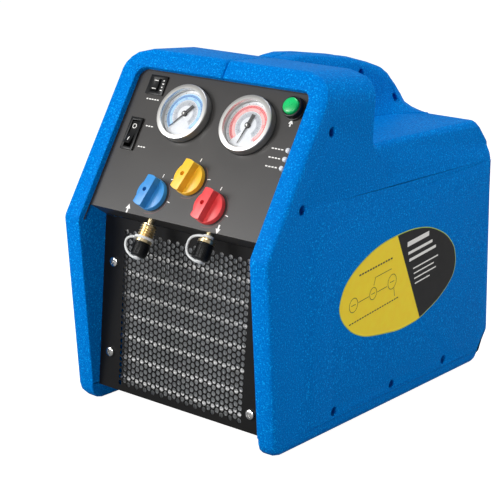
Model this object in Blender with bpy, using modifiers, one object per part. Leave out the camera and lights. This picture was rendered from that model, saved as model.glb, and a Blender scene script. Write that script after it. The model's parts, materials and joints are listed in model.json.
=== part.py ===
# Portable refrigerant recovery machine: two moulded half shells on a steel base tray,
# a slanted control console with two pressure gauges, three valve knobs and two hose ports,
# and behind the perforated front plate a condenser, fan, motor and twin-head compressor.
#
# Sizes are in millimetres and are written to the meshes in metres. X is to the right of
# someone facing the console, Y runs from the console to the back, and Z is up. The side
# drawing starts at the kink of the front rim (Y = 0), where the slanted console meets the
# legs. The finished part is moved so that its origin is the centre of its footprint.

import math

import bmesh
import bpy
from mathutils import Matrix, Vector

MM = 0.001
GAP = 0.3                      # clearance between touching pieces
fine_sides = 28                # facets round the gauges and knobs
plain_sides = 16               # facets round the hidden turned pieces
small_sides = 10               # facets round stems, lamps and screw holes

# Side drawing of the housing
kink_height = 187.1            # height of the front kink
console_slant = 30.2           # lean of the console from upright, degrees
console_rim_length = 176.7     # kink to the front top edge, along the slant
leg_lean = 7.8                 # the front legs fall back below the kink, degrees
body_length = 417.0            # kink to the rearmost point of the rear wall
deck_height = 269.0
deck_rear = body_length - 54.0
head_rise = 68.0               # the head's rear top edge above the deck
head_top_rear = (156.6, deck_height + head_rise)
flare_height = 226.0           # where the narrower upper side flares out to the full width
shoulder_height = deck_height - 28.0
rear_wall_top = (body_length - 27.0, deck_height - 25.0)
rear_wall_foot = (body_length, 34.0)
base_rear = body_length - 27.0
handle_run = deck_rear - head_top_rear[0]

# Width of the housing
half_width = 120.0
panel_proud = 5.0              # raised side panel stands this far out
wall = 4.0
seam_gap = 0.3
seam_lip = 2.0                 # rounding of the seam between the half shells

# Front opening
rail_width = 20.0              # from the opening's side to the housing's side
opening_half_width = half_width - rail_width
across = opening_half_width / 100.0  # console places follow the opening's width
opening_top = 158.5            # along the slant from the kink
console_recess = 6.7
sheet = 1.5                    # folded steel sheet
console_bottom = 17.7          # along the slant from the kink
ledge_width = 2.8
plate_window_half_width = opening_half_width - 21.0

# Front grille plate
plate_foot = (31.0, 16.1)
plate_lean = 1.86
plate_thickness = 1.2
grille_pitch = 23.92
grille_hole_radius = 9.2
grille_low = 25.0
grille_high = 177.0
grille_half_width = plate_window_half_width - 6.0
plate_screw_inset = 14.3
left_screw_heights = (52.3, 142.0)
right_screw_heights = (34.0, 142.0)

# Base
tray_height = 16.3
tray_half_width = half_width - 5.0
tray_front, tray_back = 50.0, base_rear - 10.0
tray_flange = 20.0
rail_inner = opening_half_width + 1.0
foot_radius = 11.0
foot_inset = 35.0
foot_front, foot_rear = 95.0, base_rear - 40.0

# Console items: place on the console as (across, up the slant)
gauge_places = {"low": (-29.0 * across, 120.2), "high": (44.3 * across, 119.7)}
gauge_bezel_radius = 27.5
gauge_case_radius = 25.0
gauge_case_depth = 36.0
gauge_dial_radius = 23.2
gauge_dial_depth = 8.9         # dial face behind the rim plane
gauge_neck_radius, gauge_neck_length = 6.0, 10.0
pointer_turn = {"low": 140.5, "high": 167.0}
knob_places = {"inlet": (-31.5 * across, 39.3), "mode": (3.2 * across, 60.8), "outlet": (36.0 * across, 38.7)}
knob_turn = {"inlet": -12.0, "mode": -14.0, "outlet": -11.0}
knob_radius = 15.5
knob_base = 5.4
knob_bar_height = 8.4
knob_bar_left, knob_bar_right = 5.8, 4.2
knob_hole = (-0.8, 0.5)
stem_radius = 3.4
start_place = (85.6 * across, 142.4)
start_bezel_radius = 11.0
start_barrel_radius = 9.8
start_cap_radius = 7.7
start_travel = 3.0
breaker_place = (-74.6 * across, 143.8)
breaker_size = (20.8, 19.6)
rocker_place = (-81.6 * across, 92.8)
rocker_size = (14.4, 32.6)
rocker_tilt = 9.0
lamp_places = tuple((94.0 * across, v) for v in (104.0, 95.5, 87.0))
lamp_radius = 2.4

# Valve block and hose ports
block_low = (-52.0 * across, 21.0)
block_high = (61.0 * across, 74.0)
block_depth = 26.0
switch_place = (12.0 * across, 61.0)
switch_length = 18.0
port_places = {"inlet": -28.8 * across, "outlet": 39.6 * across}
port_depth = 14.0              # port axis behind the rim plane
port_stem_radius = 3.1
port_body_radius = 7.6
port_ring_radius = 7.9
cap_radius = 7.8
inlet_stem, inlet_body, inlet_cap = 5.0, 15.0, 13.5
outlet_stem, outlet_body, outlet_cap = 6.2, 1.0, 15.8

# Drive line
shaft_height = 100.0
shaft_radius = 4.0
core_front, core_back = 53.6, 66.5
core_half_width = opening_half_width - 22.0
core_low, core_high = 26.0, kink_height - 9.1
tube_low = 21.7                # height of the lowest tube
tube_pitch = 21.3
tube_radius = 3.4
shroud_front = 68.0
shroud_depth = 20.0
shroud_half_width = core_half_width + 4.0
shroud_high = kink_height - 5.1
fan_radius = 66.0
fan_front, fan_back = 74.0, 86.0
fan_hub_radius = 16.0
fan_blades = 5
motor_front, motor_back = 98.0, 178.0
motor_radius = 52.0
crank_front, crank_back = 178.6, 252.0
crank_half = 38.0
cylinder_reach = half_width - 26.0
cylinder_radius = 20.0
cylinder_fin = 7.0
capacitor_radius = 20.0
capacitor_inset = 55.0
capacitor_back = body_length - 67.0
capacitor_length = 74.0
capacitor_front = capacitor_back - capacitor_length
clamp_width = 16.0
terminal_inset = 23.0          # from the tray's side to the terminal box
terminal_width, terminal_depth, terminal_height = 50.0, 60.0, 42.0
terminal_front = body_length - 132.0
capillary_up, capillary_lead = 66.0, 22.0
pipe_rise = 16.9               # the pipes' top run above the kink

# Rear panel, drawn on the leaning rear wall
rear_open_half_width = half_width - 42.0
rear_open_low, rear_open_high = 12.0, 172.0
louvre_count = 9
louvre_margin = 16.0
rear_panel_lap = 8.0            # the panel reaches this far past its window
louvre_low, louvre_pitch, louvre_height = 52.0, 12.0, 5.0
inlet_place = (46.0 * across, 34.0)
inlet_size = (28.0, 20.0)

# Housing screws: side view places, and on the handle
side_screws = ((86.5, 290.4), (47.5, 226.4), (115.0, 22.5), (216.5, 22.5), (body_length - 99.0, 22.5))
handle_screws = ((head_top_rear[0] + 0.605 * handle_run, deck_height + 44.5),
                 (head_top_rear[0] + 0.903 * handle_run, deck_height + 14.0))
screw_pocket_radius = 4.8

# Hand hole through the carry handle
hole_centre = (head_top_rear[0] + 0.317 * handle_run, deck_height + 33.0)
hole_length = 0.426 * handle_run
hole_height = 30.0


# Small helpers for meshes

def fresh_scene():
    for item in list(bpy.data.objects):
        bpy.data.objects.remove(item, do_unlink=True)


def collection(name):
    made = bpy.data.collections.new(name)
    bpy.context.scene.collection.children.link(made)
    return made


def material(name, colour, roughness, metallic=0.0, alpha=1.0):
    made = bpy.data.materials.new(name)
    made.use_nodes = True
    shader = made.node_tree.nodes["Principled BSDF"]
    shader.inputs["Base Color"].default_value = (*colour, 1.0)
    shader.inputs["Roughness"].default_value = roughness
    shader.inputs["Metallic"].default_value = metallic
    shader.inputs["Alpha"].default_value = alpha
    return made


def mesh_object(bm, name):
    """Write a bmesh drawn in millimetres as an object in metres."""
    bmesh.ops.recalc_face_normals(bm, faces=bm.faces)
    bmesh.ops.scale(bm, vec=(MM, MM, MM), verts=bm.verts)
    mesh = bpy.data.meshes.new(name)
    bm.to_mesh(mesh)
    bm.free()
    made = bpy.data.objects.new(name, mesh)
    workshop.objects.link(made)
    return made


def block(name, low, high):
    bm = bmesh.new()
    bmesh.ops.create_cube(bm, size=1.0)
    size = [b - a for a, b in zip(low, high)]
    centre = [(a + b) / 2 for a, b in zip(low, high)]
    bmesh.ops.scale(bm, vec=size, verts=bm.verts)
    bmesh.ops.translate(bm, vec=centre, verts=bm.verts)
    return mesh_object(bm, name)


def rounded_block(name, low, high, radius, segments=2):
    bm = bmesh.new()
    bmesh.ops.create_cube(bm, size=1.0)
    size = [b - a for a, b in zip(low, high)]
    centre = [(a + b) / 2 for a, b in zip(low, high)]
    bmesh.ops.scale(bm, vec=size, verts=bm.verts)
    bmesh.ops.translate(bm, vec=centre, verts=bm.verts)
    bmesh.ops.bevel(bm, geom=bm.edges, offset=radius, segments=segments, affect="EDGES", profile=0.5)
    return mesh_object(bm, name)


def rod(name, start, end, radius, sides=24, end_radius=None):
    """A cylinder or cone from one point to another."""
    start, end = Vector(start), Vector(end)
    along = end - start
    bm = bmesh.new()
    far = radius if end_radius is None else end_radius
    bmesh.ops.create_cone(bm, cap_ends=True, segments=sides, radius1=radius, radius2=far,
                          depth=along.length)
    turn = along.to_track_quat("Z", "Y").to_matrix().to_4x4()
    bmesh.ops.transform(bm, matrix=Matrix.Translation((start + end) / 2) @ turn, verts=bm.verts)
    return mesh_object(bm, name)


def turned(name, profile, sides=32):
    """A closed ring or solid turned about Z from (radius, height) points, top to bottom outside."""
    bm = bmesh.new()
    points = [bm.verts.new((radius, 0.0, height)) for radius, height in profile]
    for a, b in zip(points, points[1:]):
        bm.edges.new((a, b))
    if profile[0] != profile[-1] and min(profile[0][0], profile[-1][0]) > 0:
        bm.edges.new((points[-1], points[0]))
    made = mesh_object(bm, name)
    screw = made.modifiers.new("turn", "SCREW")
    screw.steps = screw.render_steps = sides
    screw.use_merge_vertices = True
    screw.merge_threshold = 0.00001
    screw.use_normal_calculate = True
    return baked(made)


def baked(made):
    """Apply an object's modifiers to its mesh, and weld and turn its faces out."""
    bpy.context.view_layer.update()
    graph = bpy.context.evaluated_depsgraph_get()
    mesh = bpy.data.meshes.new_from_object(made.evaluated_get(graph))
    bm = bmesh.new()
    bm.from_mesh(mesh)
    bmesh.ops.remove_doubles(bm, verts=bm.verts, dist=0.000002)
    bmesh.ops.recalc_face_normals(bm, faces=bm.faces)
    bm.to_mesh(mesh)
    bm.free()
    made.modifiers.clear()
    made.data = mesh
    return made


def from_curve(curve, name, matrix=Matrix()):
    """Turn a curve drawn in millimetres into a welded mesh in metres."""
    holder = bpy.data.objects.new(name, curve)
    workshop.objects.link(holder)
    bpy.context.view_layer.update()
    graph = bpy.context.evaluated_depsgraph_get()
    mesh = bpy.data.meshes.new_from_object(holder.evaluated_get(graph))
    bm = bmesh.new()
    bm.from_mesh(mesh)
    bmesh.ops.remove_doubles(bm, verts=bm.verts, dist=0.002)
    bmesh.ops.transform(bm, matrix=matrix, verts=bm.verts)
    bpy.data.objects.remove(holder, do_unlink=True)
    return mesh_object(bm, name)


def outline(name, points, thickness, matrix=Matrix()):
    """A flat outline of the given thickness, centred on its own plane."""
    curve = bpy.data.curves.new(name, "CURVE")
    curve.dimensions = "2D"
    curve.fill_mode = "BOTH"
    curve.extrude = thickness / 2
    spline = curve.splines.new("POLY")
    spline.points.add(len(points) - 1)
    for target, (u, v) in zip(spline.points, points):
        target.co = (u, v, 0.0, 1.0)
    spline.use_cyclic_u = True
    return from_curve(curve, name, matrix)


def side_outline(name, points, x_low, x_high):
    """A side drawing in (Y, Z) given thickness across X."""
    stand = Matrix(((0, 0, 1, (x_low + x_high) / 2), (1, 0, 0, 0), (0, 1, 0, 0), (0, 0, 0, 1)))
    return outline(name, points, x_high - x_low, stand)


def tube(name, points, radius, resolution=2, bends=0.0):
    """A round tube through points, with its corners rounded when bends is given."""
    path = rounded_path(points, bends) if bends else [Vector(p) for p in points]
    curve = bpy.data.curves.new(name, "CURVE")
    curve.dimensions = "3D"
    curve.bevel_depth = radius
    curve.bevel_resolution = resolution
    curve.use_fill_caps = True
    spline = curve.splines.new("POLY")
    spline.points.add(len(path) - 1)
    for target, p in zip(spline.points, path):
        target.co = (*p, 1.0)
    return from_curve(curve, name)


def rounded_path(points, radius, steps=3):
    points = [Vector(p) for p in points]
    path = [points[0]]
    for before, here, after in zip(points, points[1:], points[2:]):
        come = (before - here).normalized()
        leave = (after - here).normalized()
        angle = come.angle(leave)
        cut = min(radius / math.tan(angle / 2), (before - here).length * 0.49, (after - here).length * 0.49)
        for step in range(steps + 1):
            t = step / steps
            start, end = here + come * cut, here + leave * cut
            path.append(start * (1 - t) ** 2 + here * 2 * t * (1 - t) + end * t ** 2)
    path.append(points[-1])
    return path


def loft(name, rings):
    """Join closed rings of equal point count, each a list of 3D points, and cap the ends."""
    bm = bmesh.new()
    rows = [[bm.verts.new(p) for p in ring] for ring in rings]
    for low, high in zip(rows, rows[1:]):
        for i in range(len(low)):
            j = (i + 1) % len(low)
            bm.faces.new((low[i], low[j], high[j], high[i]))
    bm.faces.new(rows[0])
    bm.faces.new(rows[-1])
    return mesh_object(bm, name)


def combine(target, others, operation="DIFFERENCE"):
    """Boolean the other objects into the target, one after another, and remove them."""
    for other in others:
        step = target.modifiers.new("cut", "BOOLEAN")
        step.operation = operation
        step.solver = "EXACT"
        step.object = other
        baked(target)
        bpy.data.objects.remove(other, do_unlink=True)
    return target


def mirrored(source, name):
    """A left-hand copy of a right-hand object."""
    bm = bmesh.new()
    bm.from_mesh(source.data)
    bmesh.ops.scale(bm, vec=(-1, 1, 1), verts=bm.verts)
    bmesh.ops.reverse_faces(bm, faces=bm.faces)
    mesh = bpy.data.meshes.new(name)
    bm.to_mesh(mesh)
    bm.free()
    made = bpy.data.objects.new(name, mesh)
    workshop.objects.link(made)
    return made


def placed(made, frame, spot=(0, 0, 0), turn=0.0):
    """Stand an object in a frame at a spot in millimetres, turned about the frame's Z."""
    local = Matrix.Translation(Vector(spot) * MM) @ Matrix.Rotation(math.radians(turn), 4, "Z")
    made.matrix_world = frame @ local
    bpy.context.view_layer.update()
    return made


def part(made, name, finish, smooth=30.0):
    """Give a finished piece its name, its material and its place in the product."""
    made.name = name
    made.data.name = name
    made.data.materials.clear()
    made.data.materials.append(finish)
    made.data.shade_smooth()
    made.data.set_sharp_from_angle(angle=math.radians(smooth))
    workshop.objects.unlink(made)
    product.objects.link(made)
    return made


# Plane geometry

def corner(line_a, line_b):
    (ax, ay), (adx, ady) = line_a
    (bx, by), (bdx, bdy) = line_b
    cross = adx * bdy - ady * bdx
    t = ((bx - ax) * bdy - (by - ay) * bdx) / cross
    return (ax + adx * t, ay + ady * t)


def inset(points, amounts):
    """Move each side of a polygon inwards by its own amount. Side i joins point i to the next."""
    lines = []
    count = len(points)
    for i in range(count):
        (ax, ay), (bx, by) = points[i], points[(i + 1) % count]
        length = math.hypot(bx - ax, by - ay)
        dx, dy = (bx - ax) / length, (by - ay) / length
        lines.append(((ax - dy * amounts[i], ay + dx * amounts[i]), (dx, dy)))
    return [corner(lines[i - 1], lines[i]) for i in range(count)]


def filleted(points, radii, steps=3):
    """Round each corner of a polygon with an arc of its own radius."""
    made = []
    count = len(points)
    for i in range(count):
        here = Vector(points[i])
        come = (Vector(points[i - 1]) - here)
        leave = (Vector(points[(i + 1) % count]) - here)
        room = min(come.length, leave.length) * 0.49
        come.normalize()
        leave.normalize()
        half = come.angle(leave) / 2
        cut = min(radii[i] / math.tan(half), room)
        radius = cut * math.tan(half)
        middle = here + (come + leave).normalized() * (radius / math.sin(half))
        start = here + come * cut - middle
        sweep = math.pi - 2 * half
        if come.x * leave.y - come.y * leave.x > 0:
            sweep = -sweep
        for step in range(steps + 1):
            angle = sweep * step / steps
            c, s = math.cos(angle), math.sin(angle)
            made.append((middle.x + start.x * c - start.y * s, middle.y + start.x * s + start.y * c))
    return made


def slot_outline(centre, length, height, turn=0.0, steps=6):
    """A long hole with round ends."""
    reach = (length - height) / 2
    c, s = math.cos(math.radians(turn)), math.sin(math.radians(turn))
    made = []
    for side in (1, -1):
        for step in range(steps + 1):
            angle = math.radians(-90 + 180 * step / steps)
            u = side * (reach + math.cos(angle) * height / 2)
            v = side * math.sin(angle) * height / 2
            made.append((centre[0] + u * c - v * s, centre[1] + u * s + v * c))
    return made


# Frames that pieces are drawn in

def lean_frame(origin, turn):
    """Local X stays across, local Y runs up the leaning face, local Z points out of it."""
    place = Matrix.Translation(Vector((0, origin[0], origin[1])) * MM)
    return place @ Matrix.Rotation(math.radians(turn), 4, "X")


def on_console(up, out):
    """Side view place of a point given up the console's slant and out from the rim plane."""
    s, c = math.sin(math.radians(console_slant)), math.cos(math.radians(console_slant))
    return (up * s - out * c, kink_height + up * c + out * s)


# The housing

def housing_corners():
    front_top = on_console(console_rim_length, 0.0)
    foot = kink_height * math.tan(math.radians(leg_lean))
    head_y, head_z = head_top_rear
    return [(foot, 0.0), (base_rear, 0.0), rear_wall_foot, rear_wall_top, (deck_rear, deck_height),
            (head_y, deck_height), (head_y, head_z), front_top, (0.0, kink_height)]


corner_radii = (14.0, 9.0, 9.0, 8.0, 6.0, 7.0, 5.0, 6.0, 10.0)
side_rounding = (9.5, 6.0, 7.0, 9.0, 6.0, 4.0, 28.0, 3.5, 3.5)
hollow_side = 5


def rounded_section(x, reach, corners, radii, rounding, lip=0.0):
    """The side outline at a distance x from the seam, drawn in as the side face rounds over."""
    amounts = []
    for size in rounding:
        past = max(0.0, x - (reach - size))
        amounts.append(lip + size - math.sqrt(max(size * size - past * past, 0.0)) if size else lip)
    drawn = inset(corners, amounts)
    kept = []
    for i, radius in enumerate(radii):
        shift = max(amounts[i - 1], amounts[i])
        kept.append(radius + shift if i == hollow_side else max(radius - shift * 0.6, 1.5))
    return [(x, y, z) for y, z in filleted(drawn, kept)]


def outer_form():
    corners = housing_corners()
    stations = [(seam_gap / 2, seam_lip), (1.2, seam_lip * 0.35), (3.2, 0.0)]
    stations += [(half_width - back, 0.0) for back in (28.0, 13.0, 7.4, 3.4, 0.9, 0.0)]
    rings = [rounded_section(x, half_width, corners, corner_radii, side_rounding, lip)
             for x, lip in stations]
    return loft("outer_form", rings)


def side_panel():
    """The raised panel: a long low frustum whose depth fades out towards the ground."""
    front = math.tan(math.radians(console_slant))
    top = flare_height
    rear = body_length
    low = [(65.0, 14.0), (rear - 25.0, 14.0), (rear - 9.0, 38.0), (rear - 30.0, top - 0.5), (79.8, top + 0.5),
           (54.0, top - 45.0)]
    high = [(76.0, 15.0), (rear - 32.0, 15.0), (rear - 19.0, 42.0), (rear - 38.0, top - 17.5),
            (83.6, top - 16.7), (83.6 - 28.0 * front, top - 45.0)]
    proud = [1.2, 1.2, 2.2, panel_proud, panel_proud, panel_proud]
    depth = 6.0
    base = [(half_width - depth, y, z) for y, z in low]
    foot = [(half_width - 0.02, y, z) for y, z in low]
    face = [(half_width + out, y, z) for (y, z), out in zip(high, proud)]
    return loft("side_panel", [base, foot, face])


def handle_ridge():
    """The carry handle: sections along Y as (way back, drop of the foot, rise, flare of the foot)."""
    stations = [(-0.080, 0.0, 62.0, 0.0), (0.016, 0.0, 69.3, 0.0), (0.094, 0.0, 70.7, 0.0),
                (0.234, 0.0, 69.0, 0.0), (0.523, 0.0, 62.2, 0.0), (0.709, 0.0, 53.8, 2.0),
                (0.811, 0.0, 48.0, 6.0), (0.879, 0.0, 40.5, 11.0), (0.942, 0.0, 29.5, 18.0),
                (0.993, 0.0, 19.0, 25.0), (1.030, -3.5, 13.5, 26.0), (1.070, -10.0, 9.0, 26.0),
                (1.110, -18.5, 4.0, 26.0)]
    profile = [(31.0, 0.02), (27.5, 0.10), (24.5, 0.24), (22.6, 0.46), (21.6, 0.76), (20.4, 0.90),
               (17.6, 0.975), (13.0, 1.0), (3.2, 1.0), (1.2, 0.99), (seam_gap / 2, 0.965)]
    rings = []
    for share_back, foot, rise, flare in stations:
        y = head_top_rear[0] + share_back * handle_run
        ring = [(seam_gap / 2, y, deck_height - 26.0), (34.0 + flare, y, deck_height - 26.0)]
        for x, share in profile:
            ring.append((x + flare * (1.0 - share) ** 3, y, deck_height + foot + rise * share))
        rings.append(ring)
    return loft("handle_ridge", rings)


def deck_side_cutter(offset=0.0, front_offset=0.0):
    """Takes the upper rear side back to a narrower width, with a flared lower edge."""
    x_in = half_width - 7.3 - offset
    deck, flare = deck_height - offset, flare_height - offset
    above = deck_height + 41.0
    section = [(x_in - 7.0, above), (x_in - 7.0, deck + 0.4), (x_in - 4.2, deck - 0.6),
               (x_in - 1.6, deck - 2.6), (x_in, deck - 7.0), (x_in, shoulder_height - offset),
               (half_width + 0.6 - offset, flare), (half_width + 12.0, flare - 24.0), (half_width + 12.0, above)]
    start = head_top_rear[0] + GAP + front_offset
    front = [(x, start + max(0.0, deck_height + 4.0 - z) * 0.69, z) for x, z in section]
    back = [(x, body_length + 43.0, z) for x, z in section]
    return loft("deck_side_cutter", [front, back])


def cavity_form():
    """The hollow inside a half shell, one wall in from the outside."""
    corners = housing_corners()
    corners[0] = (42.0, 0.0)
    slant = (math.sin(math.radians(console_slant)), math.cos(math.radians(console_slant)))
    corners[-1] = corner((corners[-2], slant), ((42.0, 0.0), (0.0, 1.0)))
    insets = [tray_height - GAP, wall, wall, wall, wall, wall, wall, 15.0, wall]
    drawn = inset(corners, insets)
    radii = [0.8, 5.0, 5.0, 5.0, 3.0, 6.0, 3.0, 4.0, 3.0]
    rounding = [0.0, 8.0, 8.0, 8.0, 4.0, 3.0, 24.0, 6.0, 3.0]
    reach = half_width - wall
    stations = (-2.0, half_width - 28.0, half_width - 14.0, half_width - 8.0, reach)
    return loft("cavity_form", [rounded_section(x, reach, drawn, radii, rounding) for x in stations])


def front_opening_cutters():
    """The console recess, the leg bay and the smaller windows behind them."""
    plate_y, plate_z = plate_foot
    lean = math.tan(math.radians(plate_lean))
    seat_out = -(console_recess + sheet + GAP)
    top_seat = on_console(opening_top, seat_out)
    top_front = on_console(opening_top, 40.0)
    plate_back = plate_y + plate_thickness + GAP
    knee = corner((top_seat, (math.sin(math.radians(console_slant)), math.cos(math.radians(console_slant)))),
                  ((plate_back - plate_z * lean, 0.0), (lean, 1.0)))
    wide = [(-60.0, -10.0), (plate_back - (plate_z + 10.0) * lean, -10.0), knee, top_seat, top_front,
            (-60.0, 300.0)]
    recess = side_outline("recess", wide, -5.0, opening_half_width)
    foot_edge = console_bottom + 2.7
    head_edge = opening_top - ledge_width
    upper = [on_console(foot_edge, 10.0), on_console(foot_edge, -60.0), on_console(head_edge, -40.0),
             on_console(head_edge, 10.0)]
    console_window = side_outline("console_window", upper, -5.0, opening_half_width - ledge_width)
    head = kink_height - 1.1
    foot = tray_height - 2.0
    lower = [(10.0, foot), (60.0, foot), (60.0, head), (10.0, head)]
    plate_window = side_outline("plate_window", lower, -5.0, plate_window_half_width)
    under = block("under", (-5.0, -60.0, -5.0), (rail_inner, base_rear - 18.0, tray_height + 0.9))
    return [recess, console_window, plate_window, under]


def rear_frame():
    """Local X runs to the product's left, local Y up the rear wall, local Z out of it."""
    (y0, z0), (y1, z1) = rear_wall_foot, rear_wall_top
    lean = math.degrees(math.atan2(y0 - y1, z1 - z0))
    about = Matrix.Rotation(math.radians(180), 4, "Z")
    return lean_frame(rear_wall_foot, 0.0) @ about @ Matrix.Rotation(math.radians(90.0 - lean), 4, "X")


def rear_window_cutter():
    cutter = block("rear_window", (-rear_open_half_width, rear_open_low, -30.0), (5.0, rear_open_high, 30.0))
    return baked_place(cutter, rear_frame())


def baked_place(made, frame):
    """Move a mesh by a frame in metres and leave the object at the origin."""
    bm = bmesh.new()
    bm.from_mesh(made.data)
    bmesh.ops.transform(bm, matrix=frame, verts=bm.verts)
    bmesh.ops.recalc_face_normals(bm, faces=bm.faces)
    bm.to_mesh(made.data)
    bm.free()
    return made


def screw_surface(place):
    """Outer face at a side screw."""
    return half_width + (1.6 if place[1] < 40.0 else 0.0)


def make_shells():
    shell = outer_form()
    combine(shell, [side_panel(), handle_ridge()], "UNION")
    combine(shell, [deck_side_cutter()])
    hollow = cavity_form()
    combine(hollow, [deck_side_cutter(wall, -wall)])
    combine(shell, [hollow])
    bosses = [rod("boss", (half_width - 14.0, y, z), (half_width - 2.0, y, z), 7.0, small_sides)
              for y, z in side_screws]
    combine(shell, bosses, "UNION")
    combine(shell, front_opening_cutters() + [rear_window_cutter()])
    hole = slot_outline(hole_centre, hole_length, hole_height, -5.0)
    combine(shell, [side_outline("hand_hole", hole, -5.0, 60.0)])
    for place in side_screws:
        face = screw_surface(place)
        pocket = rod("pocket", (face - 8.0, *place), (face + 12.0, *place), screw_pocket_radius, small_sides)
        bore = rod("bore", (half_width - 30.0, *place), (face + 2.0, *place), 2.2, 8)
        combine(shell, [pocket, bore])
    left = mirrored(shell, "left_shell")
    for place in handle_screws:
        pocket = rod("pocket", (13.0, *place), (60.0, *place), screw_pocket_radius, small_sides)
        bore = rod("bore", (-5.0, *place), (20.0, *place), 2.2, 8)
        combine(shell, [pocket, bore])
    part(shell, "right_shell", blue_plastic)
    part(left, "left_shell", blue_plastic)


# Console

def console_frame():
    return lean_frame((0.0, kink_height), 90.0 - console_slant)


def console_cutters():
    back, front = -console_recess - sheet - 3.0, -console_recess + 3.0
    cutters = []
    for place in gauge_places.values():
        cutters.append(rod("hole", (*place, back), (*place, front), gauge_case_radius + GAP, fine_sides))
    for place in knob_places.values():
        cutters.append(rod("hole", (*place, back), (*place, front), stem_radius + 1.5, small_sides))
    start, end = (*start_place, back), (*start_place, front)
    cutters.append(rod("hole", start, end, start_barrel_radius + GAP, plain_sides))
    for place in lamp_places:
        cutters.append(rod("hole", (*place, back), (*place, front), lamp_radius + GAP, small_sides))
    for (u, v), (w, h) in ((breaker_place, breaker_size), (rocker_place, rocker_size)):
        w, h = w / 2 - 1.5, h / 2 - 1.5
        cutters.append(block("hole", (u - w, v - h, back), (u + w, v + h, front)))
    return cutters


def flange_depth():
    """How far the console's bottom flange runs back to meet the grille plate."""
    s, c = math.sin(math.radians(console_slant)), math.cos(math.radians(console_slant))
    lean = math.tan(math.radians(plate_lean))
    y0, z0 = on_console(console_bottom, 0.0)
    return (plate_foot[0] + (z0 - plate_foot[1]) * lean - GAP - y0) / (c + s * lean)


def make_console_panel():
    half = opening_half_width - 0.5
    front = -console_recess
    panel = block("console_panel", (-half, console_bottom, front - sheet), (half, opening_top - 0.4, front))
    flange = block("flange", (-half, console_bottom, -flange_depth()),
                   (half, console_bottom + sheet, front - 0.5))
    combine(panel, [flange], "UNION")
    combine(panel, console_cutters())
    ports = [rod("port", (x, console_bottom - 5.0, -port_depth), (x, console_bottom + 8.0, -port_depth),
                 port_stem_radius + GAP, small_sides) for x in port_places.values()]
    combine(panel, ports)
    part(placed(panel, console_frame()), "console_panel", dark_panel)


def make_gauge(side):
    place = gauge_places[side]
    frame = console_frame() @ Matrix.Translation(Vector((*place, 0)) * MM)
    front = -console_recess
    bore, lip = gauge_dial_radius + GAP, 22.8
    bezel = turned("bezel", [
        (lip, 1.9), (25.6, 1.9), (27.0, 1.2), (gauge_bezel_radius, -0.4), (gauge_bezel_radius, front + GAP),
        (gauge_case_radius + GAP, front + GAP), (gauge_case_radius + GAP, -5.2), (bore, -5.2), (bore, 0.9),
        (lip, 0.9)], fine_sides)
    part(placed(bezel, frame), side + "_gauge_bezel", polished_steel)
    dial_back = -gauge_dial_depth - 1.0
    case = turned("case", [(0.0, dial_back - GAP), (bore, dial_back - GAP), (bore, -5.5), (gauge_case_radius, -5.5),
                           (gauge_case_radius, -gauge_case_depth + 4.0),
                           (gauge_case_radius - 4.0, -gauge_case_depth), (gauge_neck_radius, -gauge_case_depth),
                           (gauge_neck_radius, -gauge_case_depth - gauge_neck_length),
                           (0.0, -gauge_case_depth - gauge_neck_length)], fine_sides)
    part(placed(case, frame), side + "_gauge_case", dark_steel)
    radius = gauge_dial_radius
    dial = turned("dial", [(0.0, -gauge_dial_depth), (radius, -gauge_dial_depth), (radius, dial_back),
                           (0.0, dial_back)], fine_sides)
    part(placed(dial, frame), side + "_gauge_dial", white_dial)
    lens = turned("lens", [(0.0, 0.6), (radius, 0.6), (radius, -0.9), (0.0, -0.9)], fine_sides)
    part(placed(lens, frame), side + "_gauge_lens", clear_glass)
    half_blade = [(1.35, -11.0), (1.35, -2.5), (0.7, 2.0), (0.25, 18.6)]
    blade = outline("pointer", half_blade + [(-u, v) for u, v in reversed(half_blade)], 0.6,
                    Matrix.Translation((0, 0, 1.3 - gauge_dial_depth)))
    low = GAP - gauge_dial_depth
    hub = turned("hub", [(0.0, low + 2.6), (2.2, low + 2.6), (2.7, low + 2.0), (2.7, low), (0.0, low)],
                 small_sides)
    pointer = combine(hub, [blade], "UNION")
    part(placed(pointer, frame, turn=pointer_turn[side]), side + "_gauge_pointer", black_paint)


def make_knob(side, finish):
    place = knob_places[side]
    frame = console_frame() @ Matrix.Translation(Vector((*place, -console_recess)) * MM)
    base = turned("base", [(0.0, knob_base), (knob_radius - 1.2, knob_base), (knob_radius, knob_base - 1.2),
                           (knob_radius, GAP), (0.0, GAP)], fine_sides)
    bar = block("bar", (-knob_bar_left, -knob_radius - 1.0, 1.0),
                (knob_bar_right, knob_radius + 1.0, knob_base + knob_bar_height))
    limit = rod("limit", (0, 0, 0), (0, 0, 40.0), knob_radius - 0.4, fine_sides)
    combine(bar, [limit], "INTERSECT")
    combine(base, [bar], "UNION")
    top = knob_base + knob_bar_height
    hole = rod("grub", (*knob_hole, top - 4.5), (*knob_hole, top + 5.0), 2.2, small_sides)
    socket = rod("socket", (0, 0, -2.0), (0, 0, knob_base + 2.4), stem_radius + GAP, small_sides)
    combine(base, [hole, socket])
    part(placed(base, frame, turn=knob_turn[side]), side + "_knob", finish)
    top = knob_base + 2.1
    stem = turned("stem", [(0.0, top), (stem_radius, top), (stem_radius, -12.0), (0.0, -12.0)], small_sides)
    part(placed(stem, frame, turn=knob_turn[side]), side + "_valve_stem", brass)


def make_valve_block():
    front = -console_recess - sheet - GAP
    body = rounded_block("valve_block", (*block_low, front - block_depth), (*block_high, front), 1.5, 1)
    holes = [rod("hole", (*place, front - 10.8), (*place, front + 5.0), stem_radius + GAP, small_sides)
             for place in knob_places.values()]
    combine(body, holes)
    part(placed(body, console_frame()), "valve_block", cast_aluminium)


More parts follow.
